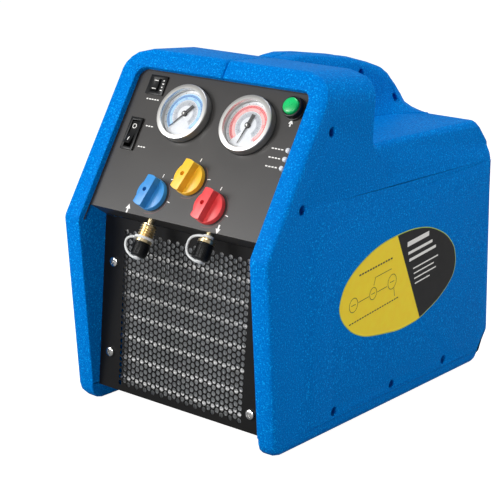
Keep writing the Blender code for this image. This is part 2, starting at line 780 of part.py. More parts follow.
def make_start_button():
    frame = console_frame() @ Matrix.Translation(Vector((*start_place, 0)) * MM)
    front = -console_recess
    bore = start_cap_radius + GAP
    housing = turned("housing", [
        (bore, 1.0), (9.2, 1.0), (9.9, 0.3), (10.2, front + 2.0), (start_bezel_radius, front + 1.6),
        (start_bezel_radius, front + GAP), (start_barrel_radius, front + GAP),
        (start_barrel_radius, front - 22.0), (0.0, front - 22.0), (0.0, front - 6.6), (bore, front - 6.6)], plain_sides)
    part(placed(housing, frame), "start_button_housing", black_plastic)
    cap = turned("cap", [(0.0, 4.0), (4.0, 3.8), (6.6, 3.2), (start_cap_radius, 2.2),
                         (start_cap_radius, front - 3.2), (0.0, front - 3.2)], plain_sides)
    part(placed(cap, frame), "start_button", green_plastic)


def make_breaker():
    front = -console_recess
    (u, v), (w, h) = breaker_place, breaker_size
    frame = console_frame()
    body = block("breaker", (u - w / 2, v - h / 2, front + GAP), (u + w / 2, v + h / 2, front + 1.6))
    inner = block("inner", (u - w / 2 + 1.8, v - h / 2 + 1.8, front - 30.0),
                  (u + w / 2 - 1.8, v + h / 2 - 1.8, front + 1.0))
    combine(body, [inner], "UNION")
    well = block("well", (u - 5.2, v - 6.4, front - 6.0), (u + 3.2, v + 6.4, front + 6.0))
    combine(body, [well])
    part(placed(body, frame), "breaker_housing", black_plastic)
    button = rounded_block("button", (-3.9, -6.1, -4.0), (3.9, 6.1, 3.2), 0.6, 1)
    part(placed(button, frame, (u - 1.0, v, front)), "breaker_button", black_plastic)


def make_rocker_switch():
    front = -console_recess
    (u, v), (w, h) = rocker_place, rocker_size
    frame = console_frame()
    body = block("rocker_housing", (u - w / 2, v - h / 2, front + GAP), (u + w / 2, v + h / 2, front + 2.2))
    inner = block("inner", (u - w / 2 + 1.8, v - h / 2 + 1.8, front - 24.0),
                  (u + w / 2 - 1.8, v + h / 2 - 1.8, front + 1.0))
    combine(body, [inner], "UNION")
    half_u, half_v = w / 2 - 3.0, h / 2 - 3.0
    well = block("well", (u - half_u, v - half_v, front - 13.0), (u + half_u, v + half_v, front + 8.0))
    combine(body, [well])
    part(placed(body, frame), "rocker_housing", black_plastic)
    reach = half_v - 1.4
    shape = [(-reach, 5.2), (0.0, 3.0), (reach, 5.2), (reach - 1.0, -2.0), (2.4, -5.6), (-2.4, -5.6),
             (-reach + 1.0, -2.0)]
    stand = Matrix(((0, 0, 1, 0), (1, 0, 0, 0), (0, 1, 0, 0), (0, 0, 0, 1)))
    tilt = Matrix.Rotation(math.radians(-rocker_tilt), 4, "X")
    rocker = outline("rocker", shape, 2 * (half_u - 0.5), tilt @ stand)
    part(placed(rocker, frame, (u, v, front - 1.6)), "rocker", black_plastic)


def make_lamps():
    front = -console_recess
    frame = console_frame()
    for name, place in zip(("upper_lamp", "middle_lamp", "lower_lamp"), lamp_places):
        lamp = turned("lamp", [(0.0, front + 2.6), (1.5, front + 2.2), (lamp_radius, front + 0.9),
                               (lamp_radius, front - 7.0), (0.0, front - 7.0)], small_sides)
        part(placed(lamp, frame, (*place, 0.0)), name, clear_glass)


# Ports

def port_frame(side):
    """Local Z runs out of the port, down the slant; the origin is on the flange's face."""
    x = port_places[side]
    down = Matrix.Rotation(math.radians(90.0), 4, "X")
    return console_frame() @ Matrix.Translation(Vector((x, console_bottom, -port_depth)) * MM) @ down


def make_port(side, stem, body, cap):
    frame = port_frame(side)
    top = block_low[1] - console_bottom - GAP
    ring_start = stem + body
    ring_end = ring_start + 2.3
    nose = ring_end + cap - 5.0
    profile = [(0.0, nose), (4.4, nose), (4.4, ring_end), (port_ring_radius, ring_end),
               (port_ring_radius, ring_start)]
    ridges = int(body // 4.0)
    for i in range(ridges):
        z = ring_start - (i + 0.5) * body / ridges
        profile += [(port_body_radius, z + 0.4 * body / ridges), (port_body_radius - 0.7, z)]
    profile += [(port_body_radius, stem), (port_stem_radius, stem), (port_stem_radius, -top), (0.0, -top)]
    part(placed(turned("port", profile, plain_sides), frame), side + "_port", brass)
    start = ring_end + GAP
    end = start + cap
    shell = turned("cap", [(0.0, end), (cap_radius - 1.4, end), (cap_radius, end - 1.4), (cap_radius, start),
                           (4.8, start), (4.8, nose + GAP), (0.0, nose + GAP)], plain_sides)
    part(placed(shell, frame), side + "_port_cap", black_plastic)
    side_reach = cap_radius + 11.0
    path = [(-port_stem_radius - GAP, 0.0, 2.0), (-cap_radius - 3.0, 0.0, 1.6), (-side_reach, 0.0, 7.0),
            (-side_reach - 1.0, 0.0, end * 0.55), (-cap_radius - 5.5, 0.0, end - 1.0), (-3.5, 0.0, end + 1.8),
            (1.5, 0.0, end + 1.8)]
    strap = tube("strap", path, 1.1, 0, 9.0)
    part(placed(strap, frame), side + "_cap_strap", pale_rubber)


# Front plate

def make_grille():
    y0, z0 = plate_foot
    lean = math.tan(math.radians(plate_lean))
    top_z = on_console(console_bottom, -flange_depth())[1] - 0.4
    half = opening_half_width - 1.0
    height = (top_z - z0) / math.cos(math.radians(plate_lean))
    frame = lean_frame(plate_foot, 90.0 - plate_lean)
    sheet_plate = block("plate", (-half, 0.0, -plate_thickness), (half, height, 0.0))
    cutters = []
    rows = int((grille_high - grille_low) // (grille_pitch * math.sqrt(3) / 2))
    columns = int(2 * grille_half_width // grille_pitch)
    for row in range(rows + 1):
        shift = grille_pitch / 2 * (row % 2)
        for column in range(columns + 1 - row % 2):
            u = -columns * grille_pitch / 2 + column * grille_pitch + shift
            v = grille_low - z0 + row * grille_pitch * math.sqrt(3) / 2
            cutters.append((u, v))
    bm = bmesh.new()
    for u, v in cutters:
        made = bmesh.ops.create_cone(bm, cap_ends=True, segments=6, radius1=grille_hole_radius,
                                     radius2=grille_hole_radius, depth=plate_thickness + 4.0)
        bmesh.ops.rotate(bm, verts=made["verts"], matrix=Matrix.Rotation(math.radians(30), 3, "Z"))
        bmesh.ops.translate(bm, vec=(u, v, -plate_thickness / 2), verts=made["verts"])
    holes = mesh_object(bm, "holes")
    combine(sheet_plate, [holes])
    bores = [rod("bore", (x, z - z0, 2.0), (x, z - z0, -4.0), 2.1, 8) for x, z in plate_screws()]
    combine(sheet_plate, bores)
    part(placed(sheet_plate, frame), "front_grille", dark_panel)


def plate_screws():
    x = opening_half_width - plate_screw_inset
    return [(-x, z) for z in left_screw_heights] + [(x, z) for z in right_screw_heights]


def make_screw_holes_in_shells():
    """Pilot holes behind the grille plate for its screws."""
    frame = lean_frame(plate_foot, 90.0 - plate_lean)
    for name, sign in (("right_shell", 1), ("left_shell", -1)):
        shell = product.objects[name]
        bores = []
        for x, z in plate_screws():
            if x * sign > 0:
                bore = rod("bore", (x, z - plate_foot[1], 2.0), (x, z - plate_foot[1], -10.5), 2.1, 8)
                bores.append(baked_place(bore, frame))
        combine(shell, bores)
        part_again(shell)


def part_again(shell):
    shell.data.materials.clear()
    shell.data.materials.append(blue_plastic)
    shell.data.shade_smooth()
    shell.data.set_sharp_from_angle(angle=math.radians(30.0))


# Base

def make_tray():
    low = tray_height
    tray = block("tray", (-tray_half_width, tray_front, low), (tray_half_width, tray_back, low + sheet))
    flanges = []
    half = tray_half_width
    for inner, outer in ((half - sheet, half), (-half, sheet - half)):
        flanges.append(block("flange", (inner, tray_front, low + 0.4), (outer, tray_back, low + tray_flange)))
    combine(tray, flanges, "UNION")
    holes = []
    for side in (1, -1):
        for y, z in side_screws:
            if z < 40.0:
                inner, outer = side * (tray_half_width - 11.0), side * (half_width + 2.0)
                holes.append(rod("hole", (inner, y, z), (outer, y, z), 7.4, small_sides))
    combine(tray, holes)
    part(tray, "base_tray", grey_steel)


def make_feet():
    profile = [(0.0, tray_height - GAP), (foot_radius, tray_height - GAP), (foot_radius - 2.0, 0.0), (0.0, 0.0)]
    reach = tray_half_width - foot_inset
    for side, x in (("left", -reach), ("right", reach)):
        for end, y in (("front", foot_front), ("rear", foot_rear)):
            foot = turned("foot", profile, small_sides)
            part(placed(foot, Matrix(), (x, y, 0.0)), end + "_" + side + "_foot", rubber)


# Condenser, fan and drive

def make_condenser():
    count = 16
    fin = 2.0
    pitch = (2 * core_half_width - fin) / count
    root = core_back - 4.0
    teeth = [(core_half_width, core_back), (-core_half_width, core_back)]
    for i in range(count):
        x = -core_half_width + i * pitch
        teeth += [(x, core_front), (x + fin, core_front), (x + fin, root), (x + pitch, root)]
    teeth += [(core_half_width - fin, core_front), (core_half_width, core_front)]
    core = loft("core", [[(x, y, z) for x, y in teeth] for z in (core_low, core_high)])
    foot = tray_height + sheet + GAP
    stands = [block("stand", (x - 8.0, core_back - 4.0, foot), (x + 8.0, core_back, core_low + 1.0))
              for x in (18.0 - core_half_width, core_half_width - 18.0)]
    combine(core, stands, "UNION")
    part(core, "condenser_fins", cast_aluminium)
    rows = int((core_high - tube_radius - tube_low) // tube_pitch) + 1
    y = core_front - tube_radius - GAP
    reach = core_half_width + 1.0
    path = []
    for row in range(rows):
        z = tube_low + row * tube_pitch
        ends = (-reach, reach) if row % 2 == 0 else (reach, -reach)
        path += [(ends[0], y, z), (ends[1], y, z)]
    path[0] = (-reach + 2.0, y, path[0][2])
    path[-1] = (path[-1][0] * 0.97, y, path[-1][2])
    part(tube("tubes", path, tube_radius, 1, 8.0), "condenser_tubes", copper)


def make_shroud():
    low = tray_height + sheet + GAP
    plate = block("shroud", (-shroud_half_width, shroud_front, low),
                  (shroud_half_width, shroud_front + 2.0, shroud_high))
    start, end = (0, shroud_front + 1.0, shaft_height), (0, shroud_front + shroud_depth, shaft_height)
    combine(plate, [rod("ring", start, end, fan_radius + 5.0, fine_sides)], "UNION")
    start, end = (0, shroud_front - 5.0, shaft_height), (0, shroud_front + shroud_depth + 20.0, shaft_height)
    bore = rod("bore", start, end, fan_radius + 3.0, fine_sides)
    combine(plate, [bore])
    part(plate, "fan_shroud", black_plastic)


def make_fan():
    hub = rod("hub", (0, fan_front, shaft_height), (0, fan_back, shaft_height), fan_hub_radius, 24)
    middle = (fan_front + fan_back) / 2
    half_thick = 0.45
    rise = (fan_back - fan_front) / 2 - 0.6 - half_thick
    sections = ((fan_hub_radius - 3.0, 5.9, rise * 0.8), (30.0, 12.0, rise), (48.0, 15.6, rise),
                (fan_radius - 1.0, 16.6, rise))
    for i in range(fan_blades):
        rings = []
        for radius, reach, lift in sections:
            low_edge, high_edge = middle - lift, middle + lift
            rings.append([(-reach, low_edge - half_thick, radius), (reach, high_edge - half_thick, radius),
                          (reach, high_edge + half_thick, radius), (-reach, low_edge + half_thick, radius)])
        blade = loft("blade", rings)
        turn = Matrix.Rotation(math.tau * i / fan_blades, 4, "Y")
        turn = Matrix.Translation(Vector((0, 0, shaft_height)) * MM) @ turn
        combine(hub, [baked_place(blade, turn)], "UNION")
    start, end = (0, fan_front - 5.0, shaft_height), (0, fan_back + 5.0, shaft_height)
    bore = rod("bore", start, end, shaft_radius + 0.05, 16)
    combine(hub, [bore])
    place_origin(hub, (0.0, 0.0, shaft_height))
    part(hub, "fan", black_plastic)
    start, end = (0, fan_front - 2.0, shaft_height), (0, crank_front + 14.0, shaft_height)
    shaft = rod("shaft", start, end, shaft_radius, 16)
    place_origin(shaft, (0.0, 0.0, shaft_height))
    part(shaft, "motor_shaft", polished_steel)


def place_origin(made, spot):
    """Move an object's origin to a spot and keep its mesh where it is."""
    move = Vector(spot) * MM
    made.data.transform(Matrix.Translation(-move))
    made.matrix_world = Matrix.Translation(move)
    bpy.context.view_layer.update()
    return made


def make_motor():
    turn = Matrix.Translation(Vector((0, 0, shaft_height)) * MM) @ Matrix.Rotation(math.radians(-90), 4, "X")
    r = motor_radius
    profile = [(shaft_radius + GAP, motor_back), (r - 10.0, motor_back), (r - 3.0, motor_back - 5.0),
               (r - 3.0, motor_back - 14.0)]
    fins = 5
    span = (motor_back - motor_front - 28.0) / fins
    for i in range(fins):
        y = motor_back - 14.0 - i * span
        profile += [(r, y), (r, y - span * 0.5), (r - 3.0, y - span * 0.5), (r - 3.0, y - span)]
    profile += [(r - 3.0, motor_front + 5.0), (r - 12.0, motor_front), (shaft_radius + GAP, motor_front)]
    motor = baked_place(turned("motor", profile, plain_sides), turn)
    low = tray_height + sheet + GAP
    foot = block("foot", (-36.0, motor_front + 10.0, low), (36.0, motor_back - 10.0, shaft_height - r + 12.0))
    combine(motor, [foot], "UNION")
    start, end = (0, motor_front - 20.0, shaft_height), (0, motor_back + 20.0, shaft_height)
    bore = rod("bore", start, end, shaft_radius + GAP, 16)
    combine(motor, [bore])
    part(motor, "motor", grey_steel)


def make_compressor():
    low, high = shaft_height - crank_half, shaft_height + crank_half
    case = rounded_block("case", (-crank_half, crank_front, low), (crank_half, crank_back, high), 5.0, 2)
    tray_top = tray_height + sheet + GAP
    foot = block("foot", (-34.0, crank_front + 8.0, tray_top), (34.0, crank_back - 8.0, low + 6.0))
    start, end = (0, crank_back - 1.0, shaft_height), (0, crank_back + 6.0, shaft_height)
    cover = rod("cover", start, end, 28.0, plain_sides)
    combine(case, [foot, cover], "UNION")
    start, end = (0, crank_front - 5.0, shaft_height), (0, crank_front + 14.6, shaft_height)
    bore = rod("bore", start, end, shaft_radius + GAP, 16)
    combine(case, [bore])
    part(case, "crankcase", cast_aluminium)
    middle = (crank_front + crank_back) / 2
    r, fin = cylinder_radius, cylinder_radius + cylinder_fin
    for side, name in ((1, "right_cylinder"), (-1, "left_cylinder")):
        profile = [(0.0, cylinder_reach), (r - 2.0, cylinder_reach), (r, cylinder_reach - 2.0)]
        fins = 4
        span = (cylinder_reach - 4.0 - crank_half - GAP) / fins
        for i in range(fins):
            x = cylinder_reach - 4.0 - i * span
            profile += [(fin, x), (fin, x - span * 0.4), (r, x - span * 0.4), (r, x - span)]
        profile += [(0.0, crank_half + GAP)]
        turn = Matrix.Rotation(math.radians(90 * side), 4, "Y")
        turn = Matrix.Translation(Vector((0, middle, shaft_height)) * MM) @ turn
        part(baked_place(turned("cylinder", profile, plain_sides), turn), name, cast_aluminium)


def make_capacitor():
    radius = capacitor_radius
    x = capacitor_inset - tray_half_width
    z = tray_height + sheet + 2.0 + 2 * GAP + radius
    can = rod("can", (x, capacitor_front, z), (x, capacitor_back, z), radius, plain_sides)
    part(can, "start_capacitor", white_dial)
    low = tray_height + sheet + GAP
    middle = (capacitor_front + capacitor_back) / 2
    clamp = block("clamp", (x - radius - 3.0, middle - clamp_width / 2, low),
                  (x + radius + 3.0, middle + clamp_width / 2, z + 4.0))
    bore = rod("bore", (x, middle - clamp_width, z), (x, middle + clamp_width, z), radius + GAP, plain_sides)
    combine(clamp, [bore])
    part(clamp, "capacitor_clamp", grey_steel)


def make_terminal_box():
    low = tray_height + sheet + GAP
    right = tray_half_width - terminal_inset
    wide, deep, tall = terminal_width, terminal_depth, terminal_height
    box = rounded_block("box", (right - wide, terminal_front, low), (right, terminal_front + deep, low + tall),
                        2.5, 1)
    part(box, "terminal_box", black_plastic)


def make_pressure_switch():
    front = -console_recess - sheet - GAP - block_depth - GAP
    body = turned("switch", [(0.0, 0.0), (9.0, 0.0), (9.0, -6.0), (13.0, -7.0), (13.0, -switch_length),
                             (0.0, -switch_length)], plain_sides)
    frame = console_frame() @ Matrix.Translation(Vector((*switch_place, front)) * MM)
    part(placed(body, frame), "high_pressure_switch", brass)


def make_pipes():
    """Copper pipes from the valve block to the cylinders, and the capillaries to the gauges."""
    back_out = -(console_recess + sheet + GAP + block_depth + GAP)
    middle = (crank_front + crank_back) / 2
    top = kink_height + pipe_rise
    for side, sign, x in (("suction", -1, block_low[0] + 16.0), ("discharge", 1, block_high[0] - 15.0)):
        y0, z0 = on_console(46.0, back_out)
        y1, z1 = on_console(46.0, back_out - 18.0)
        head = (sign * (cylinder_reach - 8.0), middle, shaft_height + cylinder_radius + cylinder_fin + GAP)
        path = [(x, y0, z0), (x, y1, z1), (x, motor_front + 12.0, top), (head[0], motor_back - 8.0, top),
                (head[0], middle, top - 14.0), head]
        part(tube(side + "_pipe", path, 3.2, 1, 14.0), side + "_pipe", copper)
    for side in ("low", "high"):
        u, v = gauge_places[side]
        case_end = -gauge_case_depth - gauge_neck_length
        end = on_console(v, case_end - GAP)
        turn_point = on_console(v, case_end - 8.0)
        start = on_console(capillary_up, back_out)
        away = on_console(capillary_up, back_out - capillary_lead)
        path = [(u * 0.8, *start), (u * 0.8, *away), (u, *turn_point), (u, *end)]
        part(tube(side + "_capillary", path, 1.5, 0, 7.0), side + "_gauge_pipe", copper)


# Rear panel

def make_rear_panel():
    frame = rear_frame()
    margin = rear_panel_lap
    front = -wall - GAP
    panel = block("rear_panel", (-rear_open_half_width - margin, rear_open_low - margin, front - sheet),
                  (rear_open_half_width + margin, rear_open_high + margin, front))
    slots = []
    reach = rear_open_half_width - louvre_margin
    for i in range(louvre_count):
        v = rear_open_low + louvre_low + i * louvre_pitch
        slots.append(block("slot", (-reach, v, front - 10.0), (reach, v + louvre_height, front + 10.0)))
    u, v = inlet_place
    w, h = inlet_size
    slots.append(block("slot", (u - w / 2 + 1.5, v - h / 2 + 1.5, front - 10.0),
                       (u + w / 2 - 1.5, v + h / 2 - 1.5, front + 10.0)))
    combine(panel, slots)
    part(placed(panel, frame), "rear_panel", dark_panel)
    body = block("inlet", (u - w / 2, v - h / 2, front + GAP), (u + w / 2, v + h / 2, front + 2.6))
    inner = block("inner", (u - w / 2 + 1.8, v - h / 2 + 1.8, front - 22.0),
                  (u + w / 2 - 1.8, v + h / 2 - 1.8, front + 1.0))
    combine(body, [inner], "UNION")
    well = block("well", (u - w / 2 + 3.4, v - h / 2 + 3.4, front - 17.0),
                 (u + w / 2 - 3.4, v + h / 2 - 3.4, front + 8.0))
    combine(body, [well])
    pins = []
    for du, dv in ((-6.4, -1.2), (0.0, 1.6), (6.4, -1.2)):
        pins.append(block("pin", (u + du - 0.9, v + dv - 2.0, front - 19.0),
                          (u + du + 0.9, v + dv + 2.0, front - 5.0)))
    combine(body, pins, "UNION")
    part(placed(body, frame), "mains_inlet", black_plastic)


def centre_part():
    """Bring the origin to the middle of the footprint."""
    ys = [(item.matrix_world @ v.co).y for item in product.objects for v in item.data.vertices]
    move = Matrix.Translation((0, -(min(ys) + max(ys)) / 2, 0))
    for item in product.objects:
        item.matrix_world = move @ item.matrix_world


fresh_scene()
product = collection("refrigerant_recovery_machine")
workshop = collection("cutters")

blue_plastic = material("blue_plastic", (0.0, 0.21, 0.70), 0.55)
dark_panel = material("dark_panel", (0.06, 0.06, 0.058), 0.5)
black_plastic = material("black_plastic", (0.01, 0.01, 0.011), 0.4)
black_paint = material("black_paint", (0.01, 0.01, 0.01), 0.5)
polished_steel = material("polished_steel", (0.65, 0.65, 0.64), 0.2, 1.0)
dark_steel = material("dark_steel", (0.05, 0.05, 0.055), 0.4, 0.8)
grey_steel = material("grey_steel", (0.30, 0.31, 0.32), 0.45, 0.6)
cast_aluminium = material("cast_aluminium", (0.55, 0.56, 0.57), 0.45, 1.0)
copper = material("copper", (0.72, 0.33, 0.18), 0.3, 1.0)
brass = material("brass", (0.75, 0.50, 0.19), 0.3, 1.0)
rubber = material("rubber", (0.02, 0.02, 0.02), 0.8)
pale_rubber = material("pale_rubber", (0.60, 0.61, 0.62), 0.6)
white_dial = material("white_dial", (0.85, 0.86, 0.88), 0.5)
clear_glass = material("clear_glass", (0.9, 0.95, 1.0), 0.05, 0.0, 0.3)
green_plastic = material("green_plastic", (0.0, 0.65, 0.22), 0.35)
blue_knob = material("blue_knob", (0.08, 0.33, 0.66), 0.4)
yellow_knob = material("yellow_knob", (0.90, 0.55, 0.03), 0.4)
red_knob = material("red_knob", (0.80, 0.06, 0.06), 0.4)

make_shells()
make_screw_holes_in_shells()
make_console_panel()
make_gauge("low")
make_gauge("high")
make_knob("inlet", blue_knob)
make_knob("mode", yellow_knob)
make_knob("outlet", red_knob)
make_valve_block()
make_start_button()
make_breaker()
make_rocker_switch()
make_lamps()
make_port("inlet", inlet_stem, inlet_body, inlet_cap)
make_port("outlet", outlet_stem, outlet_body, outlet_cap)
make_grille()
make_tray()
make_feet()
make_condenser()
make_shroud()
make_fan()
make_motor()
make_compressor()
make_capacitor()
make_terminal_box()
make_pressure_switch()
make_pipes()
make_rear_panel()
centre_part()
bpy.data.collections.remove(workshop)
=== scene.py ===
import json
import math

import bpy
from mathutils import Matrix, Vector

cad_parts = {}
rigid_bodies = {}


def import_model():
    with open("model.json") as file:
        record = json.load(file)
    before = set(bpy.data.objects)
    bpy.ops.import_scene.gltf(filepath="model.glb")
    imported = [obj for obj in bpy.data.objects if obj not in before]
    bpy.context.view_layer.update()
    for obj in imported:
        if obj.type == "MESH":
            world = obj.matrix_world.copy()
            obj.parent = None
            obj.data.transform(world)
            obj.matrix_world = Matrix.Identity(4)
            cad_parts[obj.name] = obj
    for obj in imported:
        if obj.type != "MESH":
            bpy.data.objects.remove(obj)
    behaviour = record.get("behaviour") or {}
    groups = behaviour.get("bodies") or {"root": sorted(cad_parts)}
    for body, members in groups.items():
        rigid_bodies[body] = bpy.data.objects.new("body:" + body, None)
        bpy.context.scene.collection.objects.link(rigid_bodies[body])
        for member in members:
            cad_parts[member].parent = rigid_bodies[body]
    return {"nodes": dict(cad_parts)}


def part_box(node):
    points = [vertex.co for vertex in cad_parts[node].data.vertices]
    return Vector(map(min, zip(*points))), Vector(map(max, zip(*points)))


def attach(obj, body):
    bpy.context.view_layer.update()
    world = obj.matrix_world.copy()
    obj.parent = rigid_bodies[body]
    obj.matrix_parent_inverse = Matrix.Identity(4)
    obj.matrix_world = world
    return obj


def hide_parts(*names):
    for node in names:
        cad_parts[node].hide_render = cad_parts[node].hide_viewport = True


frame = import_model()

for item in [o for o in bpy.data.objects if o.name in ("Cube", "Light", "Camera")]:
    bpy.data.objects.remove(item, do_unlink=True)
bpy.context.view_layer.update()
print("frame loaded:", len(frame["nodes"]), "nodes")

mm = 0.001
middleY = 206.661  # side view drawing starts at the front kink, this far ahead of the origin
kinkHeight = 187.1
consoleLean = 30.2
panelFace = -6.7  # console sheet lies this far behind the rim
plateFoot = {"y": 31.0, "z": 16.1, "lean": 1.86}


# Picking and placing

def shifted(x, y, z=0):
    # millimetres
    return Matrix.Translation((x * mm, y * mm, z * mm))


def rotated(angle, axis="Z"):
    return Matrix.Rotation(math.radians(angle), 4, axis)


consolePlace = shifted(0, -middleY, kinkHeight) @ rotated(90 - consoleLean, "X")
platePlace = shifted(0, plateFoot["y"] - middleY, plateFoot["z"]) @ rotated(90 - plateFoot["lean"], "X")


def onConsole(u, v, w=0):
    # u to the right, v up the slope, w out of it
    return consolePlace @ shifted(u, v, w)


def newObject(name, data):
    made = bpy.data.objects.new(name, data)
    bpy.context.scene.collection.objects.link(made)
    return made


def drop(piece):
    bpy.data.objects.remove(piece, do_unlink=True)


def setMode(mode):
    bpy.ops.object.mode_set(mode=mode)


def clearSelection():
    if bpy.context.object and bpy.context.object.mode != "OBJECT":
        setMode("OBJECT")
    bpy.ops.object.select_all(action="DESELECT")


def takeUp(piece):
    clearSelection()
    piece.select_set(True)
    bpy.context.view_layer.objects.active = piece


def editAll(piece):
    takeUp(piece)
    setMode("EDIT")
    bpy.ops.mesh.select_all(action="SELECT")


def faceOut():
    # turns every face outwards and leaves edit mode
    bpy.ops.mesh.select_all(action="SELECT")
    bpy.ops.mesh.normals_make_consistent(inside=False)
    setMode("OBJECT")


def pickParts(piece, kind, test):
    # goes to edit mode with the faces or edges that pass the test
    takeUp(piece)
    setMode("EDIT")
    bpy.ops.mesh.select_mode(type=kind)
    bpy.ops.mesh.select_all(action="DESELECT")
    setMode("OBJECT")
    for part in piece.data.polygons if kind == "FACE" else piece.data.edges:
        part.select = bool(test(part))
    setMode("EDIT")


def pickFaces(piece, test):
    # by centre and normal
    pickParts(piece, "FACE", lambda face: test(piece.matrix_world @ face.center / mm, face.normal))


def pickEdges(piece, test):
    # by middle and direction
    def check(edge):
        a, b = [piece.matrix_world @ piece.data.vertices[i].co / mm for i in edge.vertices]
        return test((a + b) / 2, (b - a).normalized())

    pickParts(piece, "EDGE", check)


def newMesh(name, add, **settings):
    clearSelection()
    add(**settings)
    piece = bpy.context.object
    piece.name = piece.data.name = name
    return piece


def boxPiece(name, low, high):
    centre = [(a + b) / 2 * mm for a, b in zip(low, high)]
    piece = newMesh(name, bpy.ops.mesh.primitive_cube_add, size=1, location=centre)
    piece.scale = [abs(b - a) * mm for a, b in zip(low, high)]
    bpy.ops.object.transform_apply(location=False, rotation=False, scale=True)
    return piece


def barrel(name, radius, low, high, sides=32, at=(0, 0)):
    centre = (at[0] * mm, at[1] * mm, (low + high) / 2 * mm)
    return newMesh(name, bpy.ops.mesh.primitive_cylinder_add, vertices=sides, radius=radius * mm,
                   depth=(high - low) * mm, location=centre)


def turnedPiece(name, profile, sides=96, closed=False):
    # a ring is drawn, then extruded and scaled along the profile of (radius, height)
    radius, height = profile[0]
    capped = radius == 0
    if capped:
        profile = profile[1:]
        radius, height = profile[0]
    piece = newMesh(name, bpy.ops.mesh.primitive_circle_add, vertices=sides, radius=radius * mm,
                    fill_type="NGON" if capped else "NOTHING", location=(0, 0, height * mm))
    setMode("EDIT")
    if capped:
        bpy.ops.mesh.select_mode(type="EDGE")
        bpy.ops.mesh.select_all(action="SELECT")
        bpy.ops.mesh.region_to_loop()
    for nextRadius, nextHeight in profile[1:]:
        if nextRadius == 0:
            bpy.ops.mesh.edge_face_add()
            break
        rise = (0, 0, (nextHeight - height) * mm)
        bpy.ops.mesh.extrude_edges_move(TRANSFORM_OT_translate={"value": rise})
        share = nextRadius / radius
        bpy.ops.transform.resize(value=(share, share, 1), center_override=(0, 0, nextHeight * mm))
        radius, height = nextRadius, nextHeight
    if closed:
        bpy.ops.mesh.select_all(action="DESELECT")
        bpy.ops.mesh.select_mode(type="EDGE")
        bpy.ops.mesh.select_non_manifold()
        bpy.ops.mesh.bridge_edge_loops()
    faceOut()
    return piece


def addModifier(piece, kind, **settings):
    # added and applied at once
    takeUp(piece)
    step = piece.modifiers.new("step", kind)
    for key, value in settings.items():
        setattr(step, key, value)
    bpy.ops.object.modifier_apply(modifier=step.name)
    return piece


def roundEdges(piece, width, segments=2, angle=35):
    return addModifier(piece, "BEVEL", width=width * mm, segments=segments, limit_method="ANGLE",
                       angle_limit=math.radians(angle), use_clamp_overlap=True)


def cutWith(piece, tool, operation="DIFFERENCE"):
    addModifier(piece, "BOOLEAN", object=tool, operation=operation, solver="EXACT")
    drop(tool)
    return piece


def joinPieces(pieces, name):
    takeUp(pieces[0])
    for other in pieces:
        other.select_set(True)
    if len(pieces) > 1:
        bpy.ops.object.join()
    pieces[0].name = pieces[0].data.name = name
    return pieces[0]


def settle(piece, place=Matrix()):
    # the place goes into the mesh and the object stays at the origin
    takeUp(piece)
    bpy.context.view_layer.update()
    piece.data.transform(place @ piece.matrix_world)
    piece.matrix_world = Matrix()
    return piece


def copyAt(piece, name, place):
    twin = newObject(name, piece.data.copy())
    twin.data.transform(place)
    return twin


def dress(piece, finish, body="housing", place=Matrix(), smooth=35, stands=()):
    settle(piece, place)
    piece.data.materials.clear()
    piece.data.materials.append(finish)
    takeUp(piece)
    bpy.ops.object.shade_smooth_by_angle(angle=math.radians(smooth))
    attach(piece, body)
    if stands:
        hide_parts(*stands)
    return piece


def refinedCopy(node, edge=0, segments=2, angle=35, seam=0):
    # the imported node's mesh, merged, with flat areas made whole and its edges rounded
    piece = newObject(node + "_refined", frame["nodes"][node].data.copy())
    takeUp(piece)
    bpy.ops.mesh.customdata_custom_splitnormals_clear()
    editAll(piece)
    bpy.ops.mesh.remove_doubles(threshold=0.00001)
    bpy.ops.mesh.dissolve_limited(angle_limit=math.radians(0.5))
    setMode("OBJECT")
    if seam:
        # each half shell reaches past the seam, so that no light passes between the rounded lips
        pickFaces(piece, lambda centre, normal: abs(centre.x) < 0.3 and abs(normal.x) > 0.9)
        bpy.ops.transform.translate(value=(seam * mm, 0, 0))
        setMode("OBJECT")
    if edge:
        addModifier(piece, "BEVEL", width=edge * mm, segments=segments, limit_method="ANGLE",
                    angle_limit=math.radians(angle), use_clamp_overlap=False, miter_outer="MITER_ARC",
                    loop_slide=False)
    return piece


# Materials

def hexColour(code):
    values = [int(code[i:i + 2], 16) / 255 for i in (1, 3, 5)]
    return tuple(v / 12.92 if v <= 0.04045 else ((v + 0.055) / 1.055) ** 2.4 for v in values) + (1.0,)


def addNode(tree, kind, links=None, inputs=None, **settings):
    node = tree.nodes.new(kind)
    for key, value in settings.items():
        setattr(node, key, value)
    for key, value in (inputs or {}).items():
        node.inputs[key].default_value = value
    for key, source in (links or {}).items():
        tree.links.new(source, node.inputs[key])
    return node


def newFinish(name, colour, roughness, metallic=0.0, **sockets):
    made = bpy.data.materials.new(name)
    made.use_nodes = True
    tree = made.node_tree
    shader = tree.nodes["Principled BSDF"]
    shader.inputs["Base Color"].default_value = hexColour(colour)
    shader.inputs["Roughness"].default_value = roughness
    shader.inputs["Metallic"].default_value = metallic
    for key, value in sockets.items():
        shader.inputs[key.replace("_", " ")].default_value = value
    return made, tree, shader


def perMetre(sizeMm):
    # noise scale for features of that size
    return 1000.0 / sizeMm


